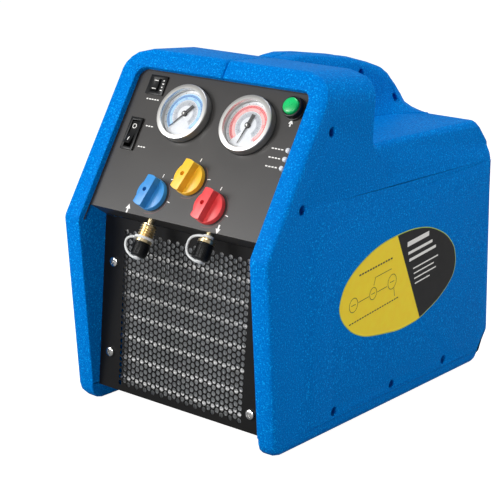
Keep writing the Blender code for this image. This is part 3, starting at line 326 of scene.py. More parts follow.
def grainOn(tree, shader, sizeMm, depthMm, strength):
    # a bump of the surface's own grain, in the object's own coordinates
    spot = addNode(tree, "ShaderNodeTexCoord").outputs["Object"]
    grain = addNode(tree, "ShaderNodeTexNoise", {"Vector": spot},
                    {"Scale": perMetre(sizeMm), "Detail": 2.0, "Roughness": 0.55}).outputs["Fac"]
    bump = addNode(tree, "ShaderNodeBump", {"Height": grain}, {"Strength": strength, "Distance": depthMm * mm})
    tree.links.new(bump.outputs["Normal"], shader.inputs["Normal"])
    return spot, grain


def tintBy(tree, shader, source, dark, light, low=0.3, high=0.7):
    ramp = addNode(tree, "ShaderNodeValToRGB", {"Fac": source})
    for element, position, colour in zip(ramp.color_ramp.elements, (low, high), (dark, light)):
        element.position, element.color = position, hexColour(colour)
    tree.links.new(ramp.outputs["Color"], shader.inputs["Base Color"])
    return ramp


def roughBy(tree, shader, source, low, high):
    spread = addNode(tree, "ShaderNodeMapRange", {"Value": source}, {"To Min": low, "To Max": high})
    tree.links.new(spread.outputs["Result"], shader.inputs["Roughness"])


# the light colour is the painted glint of the pale flecks; the dark colour is random tone
housingBlue = {"light": "#14b0ff", "mean": "#0076cd", "dark": "#006abf", "grain": 1.8, "depth": 0.95,
               "strength": 0.7, "fleckAndGlint": 1.5, "roughness": 0.42}


def makeMouldedBlue():
    # rotationally moulded polyethylene: a coarse pebble grain, with flecks in its colour: the dark ones a random
    # tone, the pale ones painted glints that show whether light grazes them or not
    made, tree, shader = newFinish("pebbledPolyethylene", housingBlue["mean"], housingBlue["roughness"],
                                   IOR=1.51, Specular_IOR_Level=0.012)
    spot, grain = grainOn(tree, shader, housingBlue["grain"], housingBlue["depth"], housingBlue["strength"])
    fleckAndGlint = addNode(tree, "ShaderNodeTexNoise", {"Vector": spot},
                    {"Scale": perMetre(housingBlue["fleckAndGlint"]), "Detail": 2.0, "Roughness": 0.7})
    # pale end of the ramp: painted glints, the rest colour speckle
    ramp = tintBy(tree, shader, fleckAndGlint.outputs["Fac"], housingBlue["dark"], housingBlue["light"], 0.36, 0.72)
    ramp.color_ramp.elements.new(0.56).color = hexColour(housingBlue["mean"])
    roughBy(tree, shader, grain, 0.26, 0.56)
    return made


def makeSkin(name, dark, light, roughness, grain, drift, spread=(0.06, 0.08), metallic=0.0, **sockets):
    # grain is (size, depth, strength), drift is the (size, detail) of a slow change of colour
    made, tree, shader = newFinish(name, light, roughness, metallic, **sockets)
    spot, fine = grainOn(tree, shader, *grain)
    cloud = addNode(tree, "ShaderNodeTexNoise", {"Vector": spot},
                    {"Scale": perMetre(drift[0]), "Detail": drift[1]})
    tintBy(tree, shader, cloud.outputs["Fac"], dark, light)
    roughBy(tree, shader, fine, roughness - spread[0], roughness + spread[1])
    return made


def makeSatinPanel(name, dark, light, roughness, **sockets):
    # steel sheet in satin powder coat: a very fine orange peel, slightly mottled
    return makeSkin(name, dark, light, roughness, (0.6, 0.02, 0.35), (60, 3.0), **sockets)


def makeMoulded(name, dark, light, roughness, grain=0.8, depth=0.03, **sockets):
    # injection moulded ABS: satin skin with a faint grain and slight colour drift
    return makeSkin(name, dark, light, roughness, (grain, depth, 0.4), (9, 2.0), **sockets)


def makeMetal(name, dark, light, roughness, grain=0.5, depth=0.02, strength=0.35):
    # bare or plated metal: tool marks as a fine grain, tarnish as a slow drift of colour
    return makeSkin(name, dark, light, roughness, (grain, depth, strength), (14, 4.0), (0.08, 0.12), 1.0)


def makeInk(name, colour, roughness=0.55):
    # screen printed ink: matt, with the uneven cover of a printed film
    made, tree, shader = newFinish(name, colour, roughness)
    spot = addNode(tree, "ShaderNodeTexCoord").outputs["Object"]
    cover = addNode(tree, "ShaderNodeTexNoise", {"Vector": spot}, {"Scale": perMetre(0.7), "Detail": 2.0})
    roughBy(tree, shader, cover.outputs["Fac"], roughness - 0.1, roughness + 0.1)
    return made


mouldedBlue = makeMouldedBlue()
consoleCoat = makeSatinPanel("satinConsoleCoat", "#302e2d", "#363432", 0.36)
# near black: the plate's own dark coat, made darker still to stand in for the shade under the console and beside
# the left leg: painted shade
plateCoatAndShade = makeSatinPanel("plateCoatAndPaintedShade", "#0f0f0f", "#161515", 0.45, Specular_IOR_Level=0.2)
rearCoat = makeSatinPanel("rearPanelCoat", "#2b2b2c", "#353536", 0.5)
blackAbs = makeMoulded("satinBlackAbs", "#08090a", "#0e0f10", 0.36, Specular_IOR_Level=0.3)
blackRubber = makeMoulded("mouldedRubber", "#161616", "#202020", 0.7, 1.2, 0.06)
pointerPaint = makeMoulded("blackPointerPaint", "#0d0d0e", "#17171a", 0.45)
bezelSteel = makeMetal("brushedBezelSteel", "#c4c3c0", "#cfcecb", 0.36, 0.35, 0.004, strength=0.1)
screwZinc = makeMetal("zincPlatedScrew", "#b4b4b0", "#dedddb", 0.22, 0.4, 0.01)
blackOxide = makeMetal("blackOxideScrew", "#1a1b22", "#2a2b33", 0.4, 0.4, 0.01)
turnedBrass = makeMetal("turnedBrass", "#d6bd8c", "#eddcb6", 0.27, 0.3, 0.006, strength=0.15)
drawnCopper = makeMetal("drawnCopper", "#a5633f", "#cf8a5f", 0.3)
finAluminium = makeSatinPanel("coatedFinStock", "#b4b6b8", "#c8cacc", 0.45)
# pale metal tubes painted pure white, so that they show as bright rows through the holes: partly their own colour,
# partly painted highlight
tubeAluminiumAndGlint = makeSatinPanel("condenserTubePaintedGlint", "#f2f2f0", "#ffffff", 0.35)
castAluminium = makeMetal("castAluminium", "#85878a", "#a9abad", 0.5, 0.7, 0.12, strength=0.6)
greySteel = makeSatinPanel("zincGreySteel", "#7e8082", "#95979a", 0.45)
motorPaint = makeSatinPanel("motorGreyPaint", "#5c5f62", "#6d7073", 0.45)
capacitorCan = makeMoulded("whiteCapacitorCan", "#d3d4d2", "#e6e6e4", 0.4)
dialPaint = makeMoulded("matteDialPaint", "#d6d9dd", "#dfe2e6", 0.6, 0.5, 0.01)
paleStrap = makeMoulded("paleSiliconeStrap", "#c6c8c8", "#d8dada", 0.5)
blueKnob = makeMoulded("blueKnobAbs", "#2b83c8", "#3a92d6", 0.36)
yellowKnob = makeMoulded("yellowKnobAbs", "#f2b92a", "#f9c636", 0.36)
redKnob = makeMoulded("redKnobAbs", "#e23c40", "#ee5052", 0.36)
greenCap = makeMoulded("greenButtonCap", "#00a858", "#02c46a", 0.28, 1.5, 0.01)
lampLens = makeMoulded("milkyLampLens", "#c9ccd0", "#e2e5e8", 0.2, 1.5, 0.01)
whiteInk = makeInk("whitePanelInk", "#eceae6")
blackInk = makeInk("blackDialInk", "#1d1e22")
dialInks = {
    "blue": makeInk("blueDialInk", "#3578b8"), "paleBlue": makeInk("paleBlueDialInk", "#a8d0ee"),
    "red": makeInk("redDialInk", "#d63c40"), "palePink": makeInk("palePinkDialInk", "#f0b8b6"),
    "grey": makeInk("greyDialInk", "#6b7079"), "paleGrey": makeInk("paleGreyDialInk", "#acb0b8"),
    "black": blackInk, "white": dialPaint,
}
ringInk = makeInk("dullRedRingInk", "#7e5250")
yellowVinyl = makeMoulded("yellowLabelVinyl", "#ffdc18", "#ffe220", 0.33, 30.0, 0.01)
paleVinyl = makeMoulded("paleVinylEdge", "#a9c24a", "#b9cf5c", 0.4, 30.0, 0.01)
charcoalVinyl = makeMoulded("charcoalLabelVinyl", "#181718", "#1e1d1d", 0.33, 30.0, 0.01,
                            Specular_IOR_Level=0.25)


def makeGlass():
    # flat gauge glass: thin, clear, faintly dusty
    made, tree, shader = newFinish("flatGaugeGlass", "#ffffff", 0.0, Transmission_Weight=1.0, IOR=1.45)
    spot = addNode(tree, "ShaderNodeTexCoord").outputs["Object"]
    dust = addNode(tree, "ShaderNodeTexNoise", {"Vector": spot}, {"Scale": perMetre(6), "Detail": 4.0})
    roughBy(tree, shader, dust.outputs["Fac"], 0.0, 0.004)
    # light goes straight through, once: the dial behind is lit as if the glass weren't there
    ray = addNode(tree, "ShaderNodeLightPath")
    shadow, diffuse = ray.outputs["Is Shadow Ray"], ray.outputs["Is Diffuse Ray"]
    passing = addNode(tree, "ShaderNodeMath", {0: shadow, 1: diffuse}, operation="MAXIMUM")
    clear = addNode(tree, "ShaderNodeBsdfTransparent")
    mix = addNode(tree, "ShaderNodeMixShader",
                  {0: passing.outputs[0], 1: shader.outputs["BSDF"], 2: clear.outputs["BSDF"]})
    tree.links.new(mix.outputs["Shader"], tree.nodes["Material Output"].inputs["Surface"])
    return made


gaugeGlass = makeGlass()
print("materials ready")


# CAD nodes that keep their shape get their finish

nodeFinishes = (
    (castAluminium, "valve_block crankcase right_cylinder left_cylinder"),
    (turnedBrass, "inlet_valve_stem mode_valve_stem outlet_valve_stem high_pressure_switch"),
    (blackRubber, "front_left_foot rear_left_foot front_right_foot rear_right_foot"),
    (blackAbs, "fan_shroud fan terminal_box mains_inlet"),
    (bezelSteel, "motor_shaft low_gauge_case high_gauge_case"),
    (drawnCopper, "suction_pipe discharge_pipe low_gauge_pipe high_gauge_pipe"),
    (plateCoatAndShade, "base_tray"), (motorPaint, "motor"), (capacitorCan, "start_capacitor"),
    (greySteel, "capacitor_clamp"), (consoleCoat, "console_panel"), (rearCoat, "rear_panel"),
)
for finish, nodes in nodeFinishes:
    for node in nodes.split():
        mesh = frame["nodes"][node].data
        mesh.materials.clear()
        mesh.materials.append(finish)


# Housing shells

shellEdges = {"round": 1.0, "steps": 3, "angle": 40, "seam": -0.14}
for side, sign in (("right", 1), ("left", -1)):
    shell = refinedCopy(side + "_shell", shellEdges["round"], shellEdges["steps"], shellEdges["angle"],
                        sign * shellEdges["seam"])
    dress(shell, mouldedBlue, smooth=50, stands=(side + "_shell",))
    print(side, "shell:", len(shell.data.polygons), "faces")


# Rounded inner corners of the opening's head, and black strips round the console that stand for its shadow line:
# painted shade

opening = {"half": 100.0, "top": 158.5, "corner": 10.0, "low": -6.6, "high": -0.5, "shadeWidth": 1.2, "lap": 0.4}


def makeOpeningTrim():
    o = opening
    half, top, low, high = o["half"], o["top"], o["low"], o["high"]
    near, foot = half - o["corner"], top - o["corner"]
    for side, sign in (("right", 1), ("left", -1)):
        block = boxPiece(side + "_corner_web", (near, foot, low), (half + o["lap"], top + o["lap"], high))
        cutWith(block, barrel("corner", o["corner"], low - 1, high + 1, 64, (near, foot)))
        settle(block)
        if sign < 0:
            block.data.transform(Matrix.Diagonal((-1, 1, 1, 1)))
            editAll(block)
            faceOut()
        roundEdges(block, 0.4, 2, 60)
        dress(block, mouldedBlue, place=consolePlace, smooth=40)
    # black strips along the top and both sides of the console: painted shade, for the shadow line where the rim
    # meets the panel
    strips = [boxPiece("strip", (-half, top - o["shadeWidth"], low - 0.1), (half, top, low + 0.3))]
    for sign in (1, -1):
        strips.append(boxPiece("strip", (sign * half, 2.0, low - 0.1),
                               (sign * (half - o["shadeWidth"]), top, low + 0.3)))
    dress(joinPieces(strips, "console_gap"), blackRubber, place=consolePlace)


makeOpeningTrim()


# Screws: one pan head with a cross recess, copied to each place

screwSizes = {"head": 4.8, "height": 2.8, "shank": 1.9, "slot": 0.9, "reach": 2.5, "deep": 1.5}


def panHead(name, sizes, shankLength):
    r, h = sizes["head"], sizes["height"]
    screw = turnedPiece(name, [
        (0, -shankLength), (sizes["shank"], -shankLength), (sizes["shank"], 0), (r, 0), (r, h * 0.35),
        (r * 0.93, h * 0.68), (r * 0.74, h * 0.9), (r * 0.42, h), (0, h)], 32)
    for turn in (0, 90):
        w, l = sizes["slot"] / 2, sizes["reach"]
        slot = boxPiece("slot", (-w, -l, h - sizes["deep"]), (w, l, h + 1))
        slot.data.transform(rotated(turn))
        cutWith(screw, slot)
    roundEdges(screw, 0.15, 1, 40)
    return settle(screw)


plateScrews = ((-85.7, 52.3, 20), (-85.7, 142.0, -35), (85.7, 34.0, 40), (85.7, 142.0, 5))
pattern = panHead("plateScrew", screwSizes, 5.0)
for number, (x, z, turn) in enumerate(plateScrews):
    spot = platePlace @ shifted(x, z - plateFoot["z"]) @ rotated(turn)
    dress(copyAt(pattern, "plate_screw_%d" % number, spot), screwZinc)
drop(pattern)

housingScrews = {"head": 3.0, "height": 1.9, "shank": 1.5, "slot": 0.8, "reach": 1.8, "deep": 1.2}
sidePlaces = ((86.5, 290.4), (47.5, 226.4), (115.0, 22.5), (216.5, 22.5), (318.0, 22.5))
handlePlaces = ((281.5, 313.5), (343.0, 283.0))
screwSeat = {"wall": 120.0, "foot": 40.0, "flare": 1.6, "pocket": 8.0, "handle": 13.0}
pattern = panHead("housingScrew", housingScrews, 6.0)
for side, sign in (("right", 1), ("left", -1)):
    spots = []
    for y, z in sidePlaces:
        flare = screwSeat["flare"] if z < screwSeat["foot"] else 0.0
        spots.append((y, z, screwSeat["wall"] + flare - screwSeat["pocket"]))
    spots += [(y, z, screwSeat["handle"]) for y, z in handlePlaces if sign > 0]
    for number, (y, z, seat) in enumerate(spots):
        # each cross stands at its own angle, as tightened by hand
        spot = shifted(sign * seat, y - middleY, z) @ rotated(90 * sign, "Y") @ rotated(37 * number + 11)
        dress(copyAt(pattern, "%s_housing_screw_%d" % (side, number), spot), blackOxide)
drop(pattern)
print("screws placed")


# Perforated front plate: round holes in staggered upright columns

perforation = {"pitch": 5.98, "hole": 2.45, "sheet": 0.6, "left": -71.9, "columns": 29, "low": 24.3,
               "rows": 26, "sides": 10}


def makeFrontPlate():
    low, high = [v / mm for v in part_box("front_grille")]
    p = perforation
    tall = (high.z - plateFoot["z"]) / math.cos(math.radians(plateFoot["lean"])) - 0.05
    plate = boxPiece("front_plate", (low.x, 0.0, -p["sheet"]), (high.x, tall, 0.0))
    cut = barrel("cut", p["hole"], -4, 4, p["sides"])
    step = p["pitch"] * math.sqrt(3) / 2
    settle(cut)
    cuts = []
    for column in range(p["columns"]):
        rise = p["pitch"] / 2 * (column % 2)
        for row in range(p["rows"] - column % 2):
            y = p["low"] - plateFoot["z"] + row * p["pitch"] + rise
            cuts.append(copyAt(cut, "cut", shifted(p["left"] + column * step, y, -p["sheet"])))
    drop(cut)
    cutWith(plate, joinPieces(cuts, "cuts"))
    dress(plate, plateCoatAndShade, place=platePlace, smooth=40, stands=("front_grille",))
    print("front plate:", len(plate.data.polygons), "faces")


makeFrontPlate()


# Condenser: thin fins and tubes near the plate, wide and tall enough to fill every hole's view

condenser = {"half": 90.0, "low": 17.5, "high": 178.0, "front": 40.0, "back": 66.5, "pitch": 2.4, "sheet": 0.5,
             "web": 42.0, "tubeHalf": 79.0, "forward": 7.5, "raise": 4.2}
airSeal = {"half": 84.0, "front": 34.0, "back": 50.5, "low": 15.0, "high": 16.2}


def makeCondenser():
    c = condenser
    fin = boxPiece("fin", (-c["sheet"] / 2, c["front"] - middleY, c["low"]),
                   (c["sheet"] / 2, c["back"] - middleY, c["high"]))
    settle(fin)
    count = int(2 * c["half"] / c["pitch"])
    fins = [copyAt(fin, "fin", shifted((i - count / 2) * c["pitch"], 0)) for i in range(count + 1)]
    drop(fin)
    web = boxPiece("web", (-c["half"], c["web"] - middleY, c["low"]),
                   (c["half"], c["web"] - middleY + c["sheet"], c["high"]))
    settle(web)
    dress(joinPieces(fins + [web], "fin_pack"), finAluminium, stands=("condenser_fins",))
    tubes = refinedCopy("condenser_tubes")
    wider = Matrix.Diagonal((c["half"] / c["tubeHalf"], 1, 1, 1))
    tubes.data.transform(shifted(0, -c["forward"], c["raise"]) @ wider)
    # white tubes: partly painted highlight behind the holes
    dress(tubes, tubeAluminiumAndGlint, smooth=60, stands=("condenser_tubes",))
    # a foam strip closes the gap between the plate's foot and the condenser
    s = airSeal
    strip = boxPiece("air_seal", (-s["half"], s["front"] - middleY, s["low"]),
                     (s["half"], s["back"] - middleY, s["high"]))
    dress(strip, blackRubber)


makeCondenser()
print("condenser dressed")


# Pressure gauges

gauges = {
    "low": {"at": (-29.0, 120.2), "tip": 140.5, "ink": "blue", "pale": "paleBlue", "top": 350, "step": 50},
    "high": {"at": (44.3, 119.7), "tip": 167.0, "ink": "red", "pale": "palePink", "top": 500, "step": 100},
}
gaugeSizes = {"bezel": 27.5, "lip": 23.0, "bore": 23.5, "dial": 23.2, "face": -5.6, "start": -140.0,
              "sweep": 280.0, "ticks": 70}
innerScale = {"from": -40, "step": 15, "count": 8, "inset": 14}
pointerBlade = {"half": 0.85, "back": -10.5, "tip": 18.6, "low": 1.0, "high": 1.5, "taper": 0.35}


def flatMark(radius, length, width, height=0.06):
    # a printed dash that points at the dial's centre
    return boxPiece("mark", (-width / 2, radius, 0.0), (width / 2, radius + length, height))


def arcBand(name, inner, outer, start, sweep, height=0.05, steps=72):
    # a thin slice is spun round the dial's centre; angles run clockwise from the top
    piece = boxPiece(name, (-0.01, inner, 0.0), (0.01, outer, height))
    settle(piece)
    pickFaces(piece, lambda centre, normal: normal.x > 0.9)
    bpy.ops.mesh.spin(steps=steps, angle=math.radians(sweep), center=(0, 0, 0), axis=(0, 0, 1))
    faceOut()
    piece.data.transform(rotated(-start))
    return piece


def numberMark(words, size, centre, turn, lift):
    clearSelection()
    bpy.ops.object.text_add()
    text = bpy.context.object
    text.data.body = words
    text.data.align_x, text.data.align_y = "CENTER", "CENTER"
    text.data.size = size * mm
    text.data.extrude = 0.02 * mm
    text.data.resolution_u = 2
    bpy.ops.object.convert(target="MESH")
    piece = bpy.context.object
    piece.name = piece.data.name = "number"
    piece.data.transform(shifted(*centre, lift) @ rotated(turn))
    return piece


def onArc(radius, angle):
    # clockwise from the top
    return (radius * math.sin(math.radians(angle)), radius * math.cos(math.radians(angle)))


def printDial(side, onDial):
    gauge, start, sweep = gauges[side], gaugeSizes["start"], gaugeSizes["sweep"]
    prints = {gauge["pale"]: [arcBand("wide", 14.4, 20.2, start, sweep)],
              gauge["ink"]: [arcBand("outer", 17.1, 19.3, start, sweep, 0.08),
                             arcBand("inner", 14.2, 14.5, start, sweep)],
              "paleGrey": [arcBand("ring", 8.4, 12.4, start, sweep)],
              "grey": [arcBand("line", 13.0, 13.2, start, sweep)], "black": [], "white": []}
    for i in range(gaugeSizes["ticks"] + 1):
        angle = start + sweep * i / gaugeSizes["ticks"]
        long, wide = (1.5, 0.4) if i % 5 == 0 else (0.9, 0.22)
        marks = [("black", flatMark(20.4, long, wide)), ("white", flatMark(17.4, 1.6, 0.25, 0.11))]
        if i % 2 == 0:
            marks.append(("grey", flatMark(12.0, 1.0, 0.24, 0.09)))
        for ink, mark in marks:
            prints[ink].append(settle(mark, rotated(-angle)))
    count = gauge["top"] // gauge["step"]
    for i in range(count + 1):
        angle = start + sweep * i / count
        prints[gauge["ink"]].append(numberMark(str(i * gauge["step"]), 2.1, onArc(15.8, angle), -angle, 0.08))
    inner = innerScale
    for i in range(inner["count"] + 1):
        angle = start + inner["inset"] + (sweep - 2 * inner["inset"]) * i / inner["count"]
        words = str(inner["from"] + i * inner["step"])
        prints["grey"].append(numberMark(words, 2.0, onArc(10.2, angle), -angle, 0.06))
    for ink, marks in prints.items():
        dress(joinPieces(marks, "%s_dial_%s_print" % (side, ink)), dialInks[ink], place=onDial)


def makeGauge(side):
    gauge, s = gauges[side], gaugeSizes
    place = onConsole(*gauge["at"])
    bezel = turnedPiece(side + "_bezel_ring", [
        (s["lip"], 0.9), (s["lip"], 1.6), (s["lip"] + 0.3, 1.9), (26.3, 1.9), (26.9, 1.7), (27.3, 1.2),
        (s["bezel"], 0.5), (s["bezel"], -6.35), (25.4, -6.35), (25.4, -5.25), (s["bore"], -5.25),
        (s["bore"], 0.9)], 128, closed=True)
    dress(bezel, bezelSteel, place=place, smooth=28, stands=(side + "_gauge_bezel",))
    lens = turnedPiece(side + "_flat_lens", [(0, 0.6), (s["dial"], 0.6), (s["dial"], -0.9), (0, -0.9)], 96)
    dress(lens, gaugeGlass, place=place, stands=(side + "_gauge_lens",))
    # a black ring round the bezel's foot: painted shade, for the shadow line the bezel throws on the panel
    shadowRing = turnedPiece(side + "_bezel_gasket", [
        (27.0, -6.65), (28.3, -6.65), (28.3, -5.9), (27.9, -5.5), (27.0, -5.5)], 96, closed=True)
    dress(shadowRing, blackRubber, place=place)
    disc = turnedPiece(side + "_dial_disc", [(0, 0), (s["dial"], 0), (s["dial"], -1.0), (0, -1.0)], 96)
    toFace = shifted(0, 0, s["face"])
    dress(disc, dialPaint, place=place @ toFace, stands=(side + "_gauge_dial",))
    printDial(side, place @ toFace)
    # pointer: a slim tapered blade, a broad tail and a hub
    b = pointerBlade
    blade = boxPiece("blade", (-b["half"], b["back"], b["low"]), (b["half"], b["tip"], b["high"]))
    settle(blade)
    pickFaces(blade, lambda centre, normal: normal.y > 0.9)
    end = (0, b["tip"] * mm, (b["low"] + b["high"]) / 2 * mm)
    bpy.ops.transform.resize(value=(b["taper"], 1, 1), center_override=end)
    setMode("OBJECT")
    tail = boxPiece("tail", (-1.6, -11.0, 0.95), (1.6, -2.5, 1.55))
    hub = turnedPiece("hub", [(0, 0.3), (2.7, 0.3), (2.7, 2.0), (2.4, 2.5), (1.5, 2.9), (0, 2.9)], 40)
    for extra in (tail, hub):
        cutWith(blade, extra, "UNION")
    turn = toFace @ rotated(gauge["tip"])
    dress(blade, pointerPaint, side + "_pointer", place @ turn, 35, (side + "_gauge_pointer",))
    pin = turnedPiece("pin", [(0, 2.9), (0.9, 2.9), (0.9, 3.1), (0.6, 3.25), (0, 3.25)], 24)
    dress(pin, bezelSteel, side + "_pointer", place @ turn)
    pin.name = side + "_pointer_pin"


makeGauge("low")
makeGauge("high")
print("gauges dressed")


# Valve knobs: a disc with a tall finger bar across it

knobSizes = {"radius": 15.5, "base": 5.4, "top": 13.8, "left": 5.8, "right": 4.2, "hole": 2.1, "socket": 3.7}
knobs = {
    "inlet": {"at": (-31.5, 39.3), "turn": -12.0, "finish": blueKnob, "slot": "blue_knob"},
    "mode": {"at": (3.2, 60.8), "turn": -14.0, "finish": yellowKnob, "slot": "yellow_knob"},
    "outlet": {"at": (36.0, 38.7), "turn": -11.0, "finish": redKnob, "slot": "red_knob"},
}


def makeKnob(side):
    knob, s = knobs[side], knobSizes
    base = turnedPiece(side + "_finger_knob", [
        (0, s["base"]), (s["radius"] - 1.0, s["base"]), (s["radius"] - 0.3, s["base"] - 0.3),
        (s["radius"], s["base"] - 1.0), (s["radius"], 0.3), (0, 0.3)], 72)
    bar = boxPiece("bar", (-s["left"], -s["radius"] - 1, 1.0), (s["right"], s["radius"] + 1, s["top"]))
    limit = barrel("limit", s["radius"] - 0.4, 0, 40, 72)
    cutWith(bar, limit, "INTERSECT")
    roundEdges(bar, 0.7, 3, 40)
    cutWith(base, bar, "UNION")
    cutWith(base, barrel("grub", s["hole"], s["top"] - 4.5, s["top"] + 3, 24, (-0.8, 0.5)))
    cutWith(base, barrel("socket", s["socket"], -1, s["base"] + 2.4, 24))
    place = onConsole(*knob["at"], panelFace) @ rotated(knob["turn"])
    dress(base, knob["finish"], side + "_valve", place, 30, (side + "_knob",))


for side in knobs:
    makeKnob(side)
print("knobs dressed")


# Start button, breaker, rocker switch and lamps

startSizes = {"at": (85.6, 142.4), "cap": 7.7, "rim": 9.9, "flange": 11.0}


def makeStartButton():
    s = startSizes
    place = onConsole(*s["at"])
    cap = turnedPiece("start_cap", [
        (0, -9.9), (s["cap"], -9.9), (s["cap"], 2.2), (7.5, 2.9), (6.9, 3.4), (5.4, 3.75), (3.0, 3.95), (1.2, 4.0),
        (0, 4.0)], 72)
    dress(cap, greenCap, "start_push", place, 40, ("start_button",))
    collar = turnedPiece("start_collar", [
        (8.0, -13.3), (8.0, 0.5), (8.3, 0.95), (9.0, 1.0), (9.6, 0.75), (s["rim"], 0.2), (10.1, -4.7), (10.8, -4.9),
        (s["flange"], -5.2), (s["flange"], -6.4), (9.8, -6.4), (9.8, -28.7), (2.0, -28.7), (2.0, -13.3)], 72,
        closed=True)
    dress(collar, blackAbs, place=place, smooth=30, stands=("start_button_housing",))


makeStartButton()

rockerSizes = {"at": (-81.6, 92.8), "size": (14.4, 32.6), "tilt": 9.0, "pivot": -1.6, "mark": (6.8, 4.27)}


def makeRocker():
    s = rockerSizes
    w, h = s["size"]
    dress(refinedCopy("rocker_housing", 0.35, 2, 40), blackAbs, stands=("rocker_housing",))
    tipped = onConsole(*s["at"], panelFace) @ shifted(0, 0, s["pivot"]) @ rotated(-s["tilt"], "X")
    half, reach = w / 2 - 3.5, h / 2 - 4.4
    body = boxPiece("rocker_paddle", (-half, -reach, -2.0), (half, reach, 5.2))
    settle(body)
    editAll(body)
    for cut in (0.0, -reach * 0.5, reach * 0.5):
        bpy.ops.mesh.bisect(plane_co=(0, cut * mm, 0), plane_no=(0, 1, 0))
        bpy.ops.mesh.select_all(action="SELECT")
    pickEdges(body, lambda middle, along: abs(middle.y) < 0.1 and middle.z > 5 and abs(along.x) > 0.9)
    bpy.ops.transform.translate(value=(0, 0, -2.0 * mm))
    pickEdges(body, lambda middle, along: 4 < abs(middle.y) < 8 and middle.z > 5 and abs(along.x) > 0.9)
    bpy.ops.transform.translate(value=(0, 0, -1.1 * mm))
    pickFaces(body, lambda centre, normal: normal.z < -0.9)
    bpy.ops.transform.translate(value=(0, 0, -1.2 * mm))
    bpy.ops.transform.resize(value=(1, 0.75, 1), center_override=(0, 0, 0))
    setMode("OBJECT")
    roundEdges(body, 0.35, 2, 30)
    dress(body, blackAbs, "power_rocker", tipped, 40, ("rocker",))
    ring = turnedPiece("ringMark", [(1.75, 0), (1.75, 0.06), (2.4, 0.06), (2.4, 0)], 40, closed=True)
    bar = boxPiece("barMark", (-0.4, -2.0, 0), (0.4, 2.0, 0.06))
    lean = math.degrees(math.atan2(2.0, reach))
    away, lift = s["mark"]
    settle(ring, shifted(0, away, lift) @ rotated(lean, "X"))
    settle(bar, shifted(0, -away, lift) @ rotated(-lean, "X"))
    dress(joinPieces([ring, bar], "rocker_marks"), whiteInk, "power_rocker", tipped)


makeRocker()

breakerSizes = {"at": (-74.6, 143.8), "width": 20.8}


def makeBreaker():
    right = breakerSizes["width"] / 2
    place = onConsole(*breakerSizes["at"], panelFace)
    dress(refinedCopy("breaker_housing", 0.35, 2, 40), blackAbs, stands=("breaker_housing",))
    button = boxPiece("breaker_push_cap", (-4.9, -6.1, -4.0), (2.9, 6.1, 3.2))
    settle(button)
    pickFaces(button, lambda centre, normal: normal.z > 0.9)
    bpy.ops.mesh.inset(thickness=1.1 * mm)
    bpy.ops.transform.translate(value=(0, 0, -0.5 * mm))
    setMode("OBJECT")
    roundEdges(button, 0.35, 2, 30)
    dress(button, blackAbs, "breaker_push", place, 40, ("breaker_button",))
    marks = []
    for i, dv in enumerate((-5.4, -2.2, 1.2, 4.4)):
        marks.append(boxPiece("mark", (right - 4.2, dv, 1.6), (right - 2.0 - 0.5 * (i % 2), dv + 1.0, 1.66)))
    for dv in (-4.6, 3.6):
        marks.append(boxPiece("mark", (-3.4, dv, 2.7), (1.4, dv + 0.7, 2.76)))
    dress(joinPieces(marks[:4], "breaker_marks"), whiteInk, place=place)
    dress(joinPieces(marks[4:], "breaker_push_marks"), whiteInk, "breaker_push", place)


makeBreaker()

lampPlaces = {"upper": (94.0, 104.0), "middle": (94.0, 95.5), "lower": (94.0, 87.0)}
for name, (u, v) in lampPlaces.items():
    lamp = turnedPiece(name + "_lamp_dome", [
        (0, -7.0), (2.4, -7.0), (2.4, 0.9), (2.2, 1.6), (1.7, 2.2), (0.9, 2.6), (0, 2.6)], 32)
    dress(lamp, lampLens, place=onConsole(u, v, panelFace), smooth=50, stands=(name + "_lamp",))
print("buttons and lamps dressed")


# Printed marks on the console: plain arrows, dashes and ring arcs

def arrowMark(name, length, width):
    # a shaft with a pointed head, drawn upwards
    shaft = boxPiece(name, (-width * 0.17, -length / 2, 0), (width * 0.17, length * 0.05, 0.05))
    head = newMesh("head", bpy.ops.mesh.primitive_cylinder_add, vertices=3, radius=width * 0.62 * mm,
                   depth=0.05 * mm, location=(0, length * 0.18 * mm, 0.025 * mm))
    settle(shaft), settle(head)
    return joinPieces([shaft, head], name)


def makeConsoleMarks():
    marks, rings = [], []

    def put(piece, u, v, turn=0.0):
        marks.append(settle(piece, shifted(u, v) @ rotated(turn)))

    def dash(half, tall, u, v, turn=0.0):
        put(boxPiece("dash", (-half, -tall, 0), (half, tall, 0.05)), u, v, turn)

    put(arrowMark("arrow", 8.0, 5.0), -54.0, 22.0)       # flow into the machine
    put(arrowMark("arrow", 8.0, 5.0), 52.0, 22.0, 180)   # flow out of it
    put(arrowMark("arrow", 6.0, 4.6), 86.0, 129.0)       # push here
    for side, angles in (("inlet", (10, 100)), ("outlet", (10, 100)), ("mode", (-100, 10, 80))):
        u, v = knobs[side]["at"]
        for angle in angles:
            x, y = onArc(20.0, angle)
            dash(0.4, 1.7, u + x, v + y, -angle)
    for knob in knobs.values():
        rings.append(settle(arcBand("ring", 18.0, 18.35, 40, 150, 0.05, 40), shifted(*knob["at"])))
    # rows of dashes where the words would be: count, half width, half height, start, step and v
    rows = [(4, 1.2, 0.55, u - 6.6, -3.4, v) for u, v in lampPlaces.values()]
    rows += [(5, 1.1, 0.6, -80.5, 3.2, 129.5), (3, 1.1, 0.55, -69.0, 3.2, 103.0),
             (3, 1.1, 0.55, -69.0, 3.2, 82.0)]
    for count, half, tall, start, step, v in rows:
        for i in range(count):
            dash(half, tall, start + i * step, v)
    onPanel = onConsole(0, 0, panelFace)
    dress(joinPieces(marks, "console_marks"), whiteInk, place=onPanel)
    dress(joinPieces(rings, "knob_rings"), ringInk, place=onPanel)


makeConsoleMarks()
print("console printed")


# Hose ports, their caps and straps

